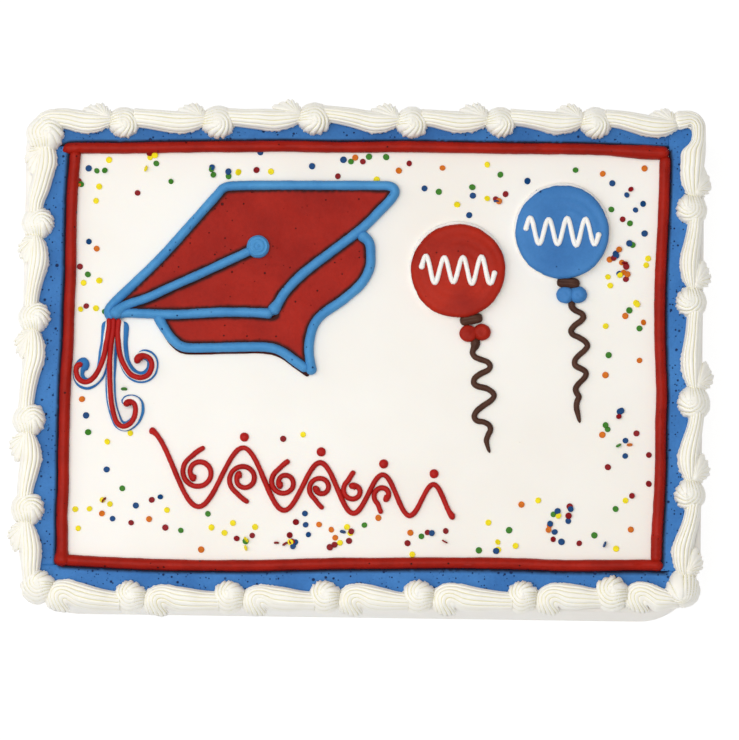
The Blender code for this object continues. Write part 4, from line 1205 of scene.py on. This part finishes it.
tasselLook = {
    "blue": {"width": 7.0 * mm, "high": 3.0 * mm, "base": top, "rough": 0.1 * mm},
    "white": {"width": 4.7 * mm, "high": 2.4 * mm, "base": top + 2.3 * mm, "rough": 0.1 * mm},
    "red": {"width": 3.7 * mm, "high": 3.2 * mm, "base": top + 3.7 * mm, "endBlob": 0.2},
}
tasselStrands = {
    "left": {
        "red": spots(
            (-175.0, 26.6), (-174.9, 20.2), (-175.7, 14.2), (-176.7, 8.2), (-177.6, 2.2),
            (-179.3, -3.8), (-181.3, -9.0), (-183.8, -13.3), (-186.7, -16.6), (-190.1, -18.1),
            (-193.5, -17.3), (-195.9, -14.7), (-197.0, -10.9), (-196.7, -7.7), (-194.8, -6.2),
            (-193.0, -7.3)),
        "white": spots(
            (-174.9, 26.0), (-175.3, 20.4), (-176.3, 14.4), (-176.7, 8.4), (-177.6, 2.4),
            (-178.3, -2.7), (-179.0, -7.0), (-180.7, -12.2), (-183.8, -16.5), (-187.6, -18.7),
            (-190.5, -19.0), (-193.9, -17.5), (-195.9, -14.9), (-196.5, -11.5), (-195.9, -8.1),
            (-193.8, -6.8)),
        "blue": spots(
            (-176.7, 24.9), (-176.9, 17.2), (-177.4, 8.7), (-178.4, 2.5), (-178.9, -2.9),
            (-179.5, -8.3), (-181.2, -12.8), (-184.2, -16.3), (-187.5, -18.6), (-190.6, -18.8),
            (-193.4, -17.3), (-195.1, -14.3), (-195.4, -11.3), (-194.4, -7.9), (-192.2, -5.5),
            (-188.2, -4.2)),
    },
    "middle": {
        "red": spots(
            (-172.0, 26.6), (-171.9, 20.2), (-172.5, 14.2), (-173.3, 8.2), (-173.8, 1.4),
            (-174.0, -5.5), (-173.9, -12.3), (-173.5, -19.1), (-173.0, -26.0), (-172.2, -32.8),
            (-170.7, -39.6), (-168.5, -45.6), (-165.0, -48.3), (-161.7, -47.9), (-158.3, -45.4),
            (-156.2, -41.1), (-155.7, -36.0), (-156.8, -32.6), (-159.3, -31.6), (-161.4, -32.6),
            (-161.4, -34.8)),
        "white": spots(
            (-171.5, 26.0), (-171.8, 20.5), (-172.4, 14.5), (-173.0, 8.5), (-173.4, -0.1),
            (-173.6, -8.6), (-173.5, -17.2), (-173.0, -25.7), (-171.9, -33.4), (-169.8, -40.2),
            (-167.2, -46.4), (-163.8, -48.9), (-160.0, -47.8), (-156.3, -44.2), (-154.3, -39.2),
            (-153.9, -34.0), (-155.1, -30.6), (-158.1, -29.2), (-161.5, -29.9), (-163.4, -32.9)),
        "blue": spots(
            (-170.6, 24.6), (-171.4, 17.3), (-172.1, 8.7), (-172.8, 0.2), (-173.1, -8.4),
            (-173.3, -17.0), (-173.0, -25.5), (-171.9, -33.2), (-169.8, -40.4), (-167.2, -46.0),
            (-163.8, -48.0), (-160.0, -47.3), (-155.9, -43.8), (-153.5, -38.9), (-153.2, -34.2),
            (-154.9, -30.8), (-158.5, -29.4), (-162.3, -30.3), (-163.4, -33.1)),
    },
    "right": {
        "red": spots(
            (-168.2, 26.3), (-168.9, 16.9), (-168.2, 8.3), (-166.6, -0.2), (-163.5, -7.0),
            (-159.6, -12.1), (-155.3, -14.2), (-151.9, -14.4), (-148.5, -13.2), (-146.0, -10.2),
            (-144.9, -5.9), (-145.7, -2.5), (-147.9, -0.1), (-151.1, 0.5), (-153.6, -0.7),
            (-154.6, -2.6), (-153.3, -4.2)),
        "white": spots(
            (-166.9, 25.7), (-167.1, 17.1), (-167.1, 8.6), (-166.1, 0.0), (-163.8, -5.9),
            (-160.5, -10.9), (-156.6, -13.5), (-152.3, -14.5), (-148.1, -13.4), (-145.2, -10.4),
            (-143.9, -6.1), (-144.4, -2.2), (-146.6, 0.5), (-150.0, 1.8), (-153.0, 1.1),
            (-154.9, -1.1)),
        "blue": spots(
            (-164.8, 24.6), (-164.9, 17.4), (-165.3, 8.8), (-164.5, 0.1), (-163.2, -4.8),
            (-160.7, -9.3), (-157.1, -12.6), (-152.5, -13.9), (-148.2, -12.6), (-145.2, -9.1),
            (-144.4, -4.9), (-145.0, -1.4), (-147.5, 1.2), (-151.1, 1.8), (-153.9, 0.2)),
    },
}
tasselChanges = {
    ("left", "blue"): {"endBlob": 0.35, "wider": ((52 * mm, 0.16, 14 * mm),)},
    ("right", "blue"): {"wider": ((46 * mm, 0.18, 22 * mm),)},
    ("right", "red"): {"wider": ((74 * mm, 0.5, 3.2 * mm),)},
    ("middle", "red"): {"wider": ((104 * mm, 0.3, 3 * mm),)},
}
tasselMaterials = {"blue": (deepBlueIcing, "light_blue_icing"),
                   "white": (lineWhiteIcing, "white_icing"),
                   "red": (scrollIcing, "red_field_icing")}
for number, (strand, paths) in enumerate(tasselStrands.items()):
    for colour in ("blue", "white", "red"):
        material, slotName = tasselMaterials[colour]
        look = {**tasselLook[colour], "seed": 7 * number + len(colour),
                **tasselChanges.get((strand, colour), {})}
        linePiece(f"tassel{strand.title()}.{colour}", paths[colour], look, material,
                  f"tassel_{strand}_{colour}")
print("tassel")


# the balloons

balloonLook = {
    "red": {"middle": (65.2, 62.7), "material": balloonRedIcing, "slot": "balloon_red_icing",
            "knot": (74.8, 29.2), "knotTurn": 12, "bow": ((72.7, 19.5), (82.3, 20.6)),
            "stringTop": ((4 * mm, 0.65, 3.4 * mm),),
            "string": spots(
                (77.8, 17.0), (77.9, 13.5), (77.4, 10.6), (75.9, 7.0), (77.3, 3.8), (81.3, 1.9),
                (86.1, 0.2), (88.2, -2.6), (87.0, -5.4), (81.5, -8.3), (77.7, -11.3),
                (77.2, -15.0), (80.2, -17.0), (85.6, -18.2), (90.0, -20.9), (91.1, -24.0),
                (88.1, -27.3), (83.4, -30.6), (79.1, -34.4), (77.7, -38.1), (79.7, -40.8),
                (84.3, -41.6), (88.0, -43.7), (89.0, -47.0), (87.4, -50.5), (86.3, -54.3),
                (87.3, -59.0), (88.6, -63.0))},
    "blue": {"middle": (136.8, 90.4), "material": balloonBlueIcing, "slot": "balloon_blue_icing",
             "knot": (141.4, 55.6), "knotTurn": -3, "bow": ((139.2, 47.3), (148.4, 47.6)),
             "stringTop": ((3 * mm, 0.15, 3 * mm),),
             "string": spots(
                 (144.0, 44.0), (144.1, 39.6), (146.6, 36.7), (150.8, 34.7), (152.2, 32.2),
                 (150.4, 29.5), (146.2, 26.3), (143.8, 22.9), (145.0, 20.0), (149.4, 17.9),
                 (153.6, 15.2), (155.1, 12.0), (152.8, 8.7), (148.8, 5.2), (146.5, 1.7),
                 (147.2, -1.7), (151.0, -3.7), (154.2, -6.0), (153.7, -9.4), (150.1, -13.3),
                 (147.4, -17.3), (148.2, -20.7), (149.6, -23.1), (148.4, -26.5), (148.0, -30.5),
                 (149.2, -35.8), (150.5, -41.4))},
}
# each disc lies on a white one; both are low cylinders with a rounded, uneven rim
baseLook = {"radius": 33.4 * mm, "high": 3.8 * mm, "edge": 1.2 * mm, "level": -underTop,
            "shift": Vector((0, 1.5)) * mm, "marks": 0}
discLook = {"radius": 32.4 * mm, "high": 6.4 * mm, "edge": 2.4 * mm, "level": 2.9 * mm,
            "shift": Vector((0, 0)), "marks": 0.27 * mm, "markGap": 6.5 * mm,
            "swell": 0.35 * mm, "swellSize": 16 * mm, "sag": 0.8 * mm}
rimLook = {"sides": 72, "voxel": 0.85 * mm, "from": 0.8, "push": 0.6 * mm}
waveLook = {"width": 3.3 * mm, "high": 2.3 * mm, "base": top + 8.9 * mm, "sunk": 0.3 * mm,
            "startBlob": 0.2, "endBlob": 0.2, "uneven": 0.1, "rough": 0.1 * mm,
            "span": 51 * mm, "swing": 9.2 * mm, "count": 4, "steps": 96}
stringLook = {"width": 4.1 * mm, "high": 3.5 * mm, "uneven": 0.12, "startTip": 2 * mm,
              "endTip": 9 * mm}
knotLook = {"thick": 3.5 * mm, "long": 8.0 * mm, "level": 3.1 * mm, "fold": 0.6 * mm,
            "foldAt": 0.5 * mm, "foldWidth": 0.8 * mm}
bowLook = {"size": (6.1 * mm, 5.8 * mm, 3.4 * mm), "level": 2.4 * mm, "pinch": 0.1,
           "pinchReach": 5 * mm, "ring": 1.15 * mm, "ringHigh": 0.35 * mm}


def makeDisc(balloonMiddle, look, seed):
    middle = balloonMiddle + look["shift"]
    radius = look["radius"]
    high = look["high"]
    base = top + look["level"]
    bpy.ops.mesh.primitive_cylinder_add(vertices=rimLook["sides"], radius=radius, depth=high,
                                        location=(middle.x, middle.y, base + high / 2))
    disc = bpy.context.active_object
    applyPlace(disc)
    bevelEdges(disc, lambda a, b: min(a.z, b.z) > base + high - 0.1 * mm, look["edge"], 5)
    backToObject()
    applyModifier(disc, "REMESH", mode="VOXEL", voxel_size=rimLook["voxel"])
    applyModifier(disc, "SMOOTH", factor=0.5, iterations=3)

    def wave(place, vert):
        flat = Vector((place.x, place.y)) - middle
        turn = math.atan2(flat.y, flat.x)
        rim = flat.length / radius
        if rim > rimLook["from"]:
            ripple = sum(share * noiseAt(math.cos(turn) * count, math.sin(turn) * count, seed)
                         for share, count in ((1, 2), (0.5, 6), (0.35, 19)))
            push = rimLook["push"] * ripple * (rim - rimLook["from"]) / (1 - rimLook["from"])
            place.x += flat.x / flat.length * push
            place.y += flat.y / flat.length * push
        if look["marks"] and place.z > base + high * 0.7:
            # arcs left by the spatula as it was turned
            sweep = math.sin(2 * math.pi * (flat.length / look["markGap"]) + 1.3 * turn + seed)
            fade = 0.4 + 0.6 * noise.noise(Vector((flat.x, flat.y, seed)) / (20 * mm))
            place.z += look["marks"] * sweep * fade
            place.z += look["swell"] * cellNoise(place, look["swellSize"], seed)
            place.z -= look["sag"] * rim ** 4
        return place

    moveVerts(disc, wave)
    return disc


def makeBall(middle, level, size, turned=(0, 0, 0)):
    bpy.ops.mesh.primitive_uv_sphere_add(segments=40, ring_count=24, radius=1,
                                         location=(middle.x, middle.y, top + level),
                                         rotation=turned)
    ball = bpy.context.active_object
    ball.scale = size
    applyPlace(ball)
    return ball


def settleBall(ball, middle, seed, shapeAt):
    # shapes a ball by its rule, with its foot on the cake, a rough skin and painted-shade values
    # for its grooves
    def settle(place, vert):
        flat, high = shapeAt(Vector((place.x, place.y)) - middle, place.z)
        place = Vector((middle.x + flat.x, middle.y + flat.y, max(high, top - 0.2 * mm)))
        return place + vert.normal * 0.2 * mm * cellNoise(place, 3 * mm, seed)

    moveVerts(ball, settle)
    storeGrooveShade(ball)
    return ball


def makeKnot(middle, turn, seed):
    look = knotLook
    knot = makeBall(middle, look["level"], (look["thick"], look["thick"], look["long"]),
                    (0, math.radians(90), math.radians(turn)))
    heading = Vector((math.cos(math.radians(turn)), math.sin(math.radians(turn))))
    across = Vector((-heading.y, heading.x))
    level = top + look["level"]

    def fold(flat, high):
        # blunt ends, and a shallow fold along the top
        along = flat.dot(heading) / look["long"]
        side = flat.dot(across)
        full = math.sqrt(max(0.02, 1 - along ** 2))
        blunt = min(1.8, (1 - along ** 6) ** 0.5 / full) if abs(along) < 0.99 else 1
        if high > level - 0.1 * mm:
            high = level + (high - level) * blunt
            high -= look["fold"] * math.exp(-((side - look["foldAt"]) / look["foldWidth"]) ** 2)
        return heading * flat.dot(heading) + across * side * blunt, high

    return settleBall(knot, middle, seed, fold)


def makeLobe(middle, pinch, seed):
    # one half of a bow: a round drop that is pinched towards the knot
    look = bowLook
    lobe = makeBall(middle, look["level"], look["size"])

    def squeeze(flat, high):
        towards = flat.dot(pinch) / look["pinchReach"]
        if towards > 0:
            flat += (flat - pinch * flat.dot(pinch)) * look["pinch"] * min(1, towards)
        if high > top + look["level"]:
            high += look["ringHigh"] * math.sin(flat.length / look["ring"] + seed)
        return flat, high

    return settleBall(lobe, middle, seed, squeeze)


for seed, (colour, look) in enumerate(balloonLook.items(), 1):
    middle = Vector(look["middle"]) * mm
    name = "balloon" + colour.title()
    node = "balloon_" + colour
    finishPiece(makeDisc(middle, baseLook, seed + 8.0), name + ".base", lineWhiteIcing,
                [node + "_base"])
    finishPiece(makeDisc(middle, discLook, seed * 2.3), name + ".disc", look["material"],
                [node])
    wavePath = []
    for step in range(waveLook["steps"] + 1):
        part = step / waveLook["steps"]
        swing = waveLook["swing"] * (1 + 0.06 * math.sin(9 * part + seed))
        turn = 2 * math.pi * waveLook["count"] * part
        wavePath.append(middle + Vector((
            (part - 0.5) * waveLook["span"], swing * math.sin(turn))))
    linePiece(name + ".wave", wavePath, {**waveLook, "seed": seed}, lineWhiteIcing,
              node + "_wave", False)
    knot = makeKnot(Vector(look["knot"]) * mm, look["knotTurn"], seed)
    finishPiece(knot, name + ".knot", brownIcing, [node + "_knot"])
    bow = spots(*look["bow"])
    pinchAt = (bow[0] + bow[1]) / 2 + Vector((0, -1)) * mm
    for index, spot in enumerate(bow, 1):
        lobe = makeLobe(spot, (pinchAt - spot).normalized(), seed + index * 1.7)
        finishPiece(lobe, f"{name}.bow{index}", look["material"],
                    [f"{node}_bow_{index}"])
    linePiece(name + ".string", look["string"],
              {**stringLook, "seed": seed + 3, "wider": look["stringTop"]},
              brownIcing, node + "_string")
print("balloons")


# the scroll ornament

# a zigzag of crests that shrink as they go, with curls and dots at some, in millimetres
scrollLook = {
    "line": {"width": 3.6 * mm, "high": 3.3 * mm, "uneven": 0.08},
    "start": -146, "levelLeft": -76, "levelRight": -98, "swing": 26, "step": 34.5,
    "shrink": 0.9, "crests": 10, "crestSteps": 14, "curls": 6, "curlSize": 0.5,
    "curlSteps": 40, "pitch": 5.0, "eye": 2.4, "mostTurns": 1.35,
    "dotCrests": (2, 4, 6, 8), "dotRadius": 3.2, "dotHigh": 3.0, "dotOut": 7.5,
}


def stemAt(crest):
    # the zigzag's middle level, its swing and the stem's place at a crest or between two
    look = scrollLook
    shrink = look["shrink"]
    walked = look["step"] * (1 - shrink ** crest) / (1 - shrink)
    whole = look["step"] * (1 - shrink ** (look["crests"] - 1)) / (1 - shrink)
    level = look["levelLeft"] + (look["levelRight"] - look["levelLeft"]) * walked / whole
    swing = look["swing"] * shrink ** crest
    return level, swing, Vector((look["start"] + walked, level + swing * math.cos(math.pi * crest)))


def makeStem():
    look = scrollLook
    steps = look["crestSteps"]
    stem = [stemAt(i / steps)[2] * mm for i in range(steps * (look["crests"] - 1) + 1)]
    linePiece("scrollStem", stem, {**look["line"], "seed": 1, "startBlob": 0.35,
                                   "endBlob": 0.3}, scrollIcing,
              "scroll_stem", False)


def makeCurl(crest):
    look = scrollLook
    level, swing, place = stemAt(crest)
    side = 1 if crest % 2 == 0 else -1
    radius = look["curlSize"] * swing
    middle = Vector((place.x, level - side * 0.02 * swing))
    turns = min(look["mostTurns"], (radius - look["eye"]) / look["pitch"])
    curl = []
    for step in range(-4, look["curlSteps"] + 1):      # the first steps lead in from the stem
        turned = turns * step / look["curlSteps"]
        angle = math.pi + side * (0.3 * math.pi - 2 * math.pi * turned)
        reach = radius - look["pitch"] * turned + (0.35 * step ** 2 if step < 0 else 0)
        curl.append((middle + reach * Vector((math.cos(angle), math.sin(angle)))) * mm)
    linePiece(f"scrollCurl{crest}", curl, {**look["line"], "seed": crest + 2, "endBlob": 0.55},
              scrollIcing, f"scroll_curl_{crest}", False)


def makeDot(crest):
    look = scrollLook
    side = 1 if crest % 2 == 0 else -1
    spot = (stemAt(crest)[2] + Vector((0, side * look["dotOut"]))) * mm
    radius = look["dotRadius"] * mm
    high = look["dotHigh"] * mm
    profile = [(radius * math.sin(0.5 * math.pi * i / 14),
                high * math.cos(0.5 * math.pi * i / 14) ** 0.7) for i in range(15)]
    profile += [(0.85 * radius, -underTop), (0, -underTop)]
    dot = turnedMound((spot.x, spot.y, top), profile, 32, 0.18 * mm, 2.4 * mm, crest)
    finishPiece(dot, f"scrollDot{crest}", scrollIcing,
                [f"scroll_dot_{crest}"])


makeStem()
for crest in range(1, scrollLook["curls"] + 1):
    makeCurl(crest)
for crest in scrollLook["dotCrests"]:
    makeDot(crest)
print("scroll ornament")


# the confetti

# poses: up to which draw each is taken, the tilt in degrees and the level of the middle
confettiLook = {"radius": 2.15 * mm, "thick": 1.0 * mm, "sides": 12, "edge": 0.28 * mm,
                "apart": 4.1 * mm, "near": 4 * mm, "above": 0.75 * mm, "groupDepth": 8, "seed": 41,
                "poses": ((0.11, (65, 85), 1.35 * mm), (0.3, (14, 32), 0.75 * mm),
                          (1, (0, 7), 0.4 * mm))}
confettiColours = {"red": ((142, 10, 20), 44), "orange": ((220, 114, 18), 33),
                   "yellow": ((252, 232, 26), 50), "green": ((60, 130, 34), 36),
                   "blue": ((12, 70, 128), 46)}
# loose groups: middle, reach and number of discs
confettiGroups = (((179, 77), 9, 6), ((180, 66), 7, 4), ((182, 40), 8, 4), ((173, -38), 9, 5),
                  ((141, -106), 8, 6), ((136, -114), 7, 4), ((176, -58), 10, 4),
                  ((-92, 138), 30, 6), ((8, 134), 34, 7), ((-150, 134), 16, 5),
                  ((-192, 124), 9, 4), ((96, 120), 26, 6), ((-30, -122), 40, 10),
                  ((-100, -128), 26, 5), ((40, -126), 22, 5), ((100, -124), 16, 3),
                  ((-172, -104), 20, 5), ((186, 104), 10, 3))


def discsOnCake():
    # the middles of the discs that the CAD block carries
    mesh = frame["nodes"]["cake"].data
    found = []
    for vert in mesh.vertices:
        if vert.co.z > top + 0.5 * mm:
            flat = Vector((vert.co.x, vert.co.y))
            for group in found:
                if (group[0] - flat).length < confettiLook["apart"]:
                    group.append(flat)
                    break
            else:
                found.append([flat])
    return [sum(group, Vector((0, 0))) / len(group) for group in found]


def drawConfetti(draw):
    # the places of all discs, 1 where one lies over others, and a colour for each
    look = confettiLook
    places = [(spot, 0.0) for spot in discsOnCake()]
    print("discs in the block:", len(places))
    for middle, reach, count in confettiGroups:
        for _ in range(count):
            turn = draw.uniform(0, 2 * math.pi)
            away = reach * draw.random() ** 0.6
            new = Vector(middle) + Vector((away * math.cos(turn),
                                           min(away, look["groupDepth"]) * math.sin(turn)))
            new *= mm
            close = any((new - spot).length < look["near"] for spot, _ in places)
            places.append((new, 1.0 if close else 0.0))
    colours = []
    for name, (_, count) in confettiColours.items():
        colours += [name] * count
    while len(colours) < len(places):
        colours.append(draw.choice(list(confettiColours)))
    draw.shuffle(colours)
    return zip(places, colours)


def makeConfetti():
    look = confettiLook
    draw = random.Random(look["seed"])
    drawn = drawConfetti(draw)
    groups = {name: [] for name in confettiColours}
    bpy.ops.mesh.primitive_cylinder_add(vertices=look["sides"], radius=look["radius"],
                                        depth=look["thick"], location=(0, 0, 0))
    model = bpy.context.active_object
    bevelEdges(model, lambda a, b: abs(a.z - b.z) < 0.01 * mm, look["edge"], 1)
    backToObject()
    for (spot, over), colour in drawn:
        copy = bpy.data.objects.new("disc", model.data.copy())
        bpy.context.scene.collection.objects.link(copy)
        size = draw.uniform(0.9, 1.08)
        copy.scale = (size, size * draw.uniform(0.9, 1.05), draw.uniform(0.9, 1.1))
        pose = draw.random()
        tilts, level = next(rest for upTo, *rest in look["poses"] if pose < upTo)
        tilt = math.radians(draw.uniform(*tilts))
        copy.rotation_euler = (tilt, 0, draw.uniform(0, 2 * math.pi))
        copy.rotation_mode = "ZYX" if draw.random() < 0.5 else "XYZ"
        copy.location = (spot.x, spot.y, top + level + over * look["above"])
        groups[colour].append(copy)
    bpy.data.objects.remove(model, do_unlink=True)
    for name, discs in groups.items():
        for disc in discs:
            applyPlace(disc)
        selectOnly(discs)
        bpy.ops.object.join()
        finishPiece(discs[0], "confetti." + name,
                    sugarMaterial("sugar" + name.title(), confettiColours[name][0]),
                    (), 35)
    print("confetti", sum(map(len, groups.values())))


makeConfetti()


# floor, light and camera

# the camera stands away from its target, in metres, and its view is frameWidth across there
stageLook = {"floorSize": 9, "floorTone": (0.24, 0.22), "floorGlow": 0.84,
             "sky": (1.0, 0.995, 0.985, 1), "skyStrength": 0.372, "lampTone": (1.0, 0.985, 0.96),
             "lampTarget": (0, 0, 0.05), "target": Vector((5.06, -6.85, 75)) * mm,
             "tilt": 6.5, "roll": 0.8, "away": 5.5, "frameWidth": 0.51, "sensor": 36}
# each lamp's place, size and power
lamps = {"softboxTop": ((-0.5, -0.15, 2.3), 2.2, 40), "softboxSide": ((-2.4, 0.5, 1.8), 1.6, 10)}


def makeFloor():
    look = stageLook
    bpy.ops.mesh.primitive_plane_add(size=look["floorSize"], location=(0, 0, -0.1 * mm))
    floor = bpy.context.active_object
    floor.name = "floor"
    material = bpy.data.materials.new("paleFloor")
    material.use_nodes = True
    tree = material.node_tree
    shader = tree.nodes["Principled BSDF"]
    speck = addNode(tree, "TexNoise", {"Scale": 4}).outputs["Fac"]
    light, dark = look["floorTone"]
    tree.links.new(mixColours(tree, speck, (light, light, light, 1), (dark, dark, dark, 1)),
                   shader.inputs["Base Color"])
    shader.inputs["Roughness"].default_value = 0.8
    shader.inputs["Emission Color"].default_value = (1, 1, 1, 1)
    shader.inputs["Emission Strength"].default_value = look["floorGlow"]
    floor.data.materials.append(material)


def makeLight():
    look = stageLook
    world = bpy.data.worlds.new("studio")
    bpy.context.scene.world = world
    world.use_nodes = True
    sky = world.node_tree.nodes["Background"]
    sky.inputs["Color"].default_value = look["sky"]
    sky.inputs["Strength"].default_value = look["skyStrength"]
    for name, (place, size, power) in lamps.items():
        bpy.ops.object.light_add(type="AREA", location=place)
        lamp = bpy.context.active_object
        lamp.name = name
        lamp.data.size = size
        lamp.data.energy = power
        lamp.data.color = look["lampTone"]
        aim = Vector(look["lampTarget"]) - Vector(place)
        lamp.rotation_euler = aim.to_track_quat("-Z", "Y").to_euler()


def makeCamera():
    look = stageLook
    tilt = math.radians(look["tilt"])
    back = look["away"] * Vector((0, -math.sin(tilt), math.cos(tilt)))
    bpy.ops.object.camera_add(location=look["target"] + back, rotation=(tilt, 0, 0))
    camera = bpy.context.active_object
    camera.rotation_euler.rotate_axis("Z", math.radians(look["roll"]))
    camera.data.sensor_width = look["sensor"]
    camera.data.lens = look["sensor"] * look["away"] / look["frameWidth"]
    camera.data.clip_start = 0.1
    camera.data.clip_end = 50
    bpy.context.scene.camera = camera
    bpy.context.scene.view_settings.view_transform = "Standard"


makeFloor()
makeLight()
makeCamera()
print("stage ready")
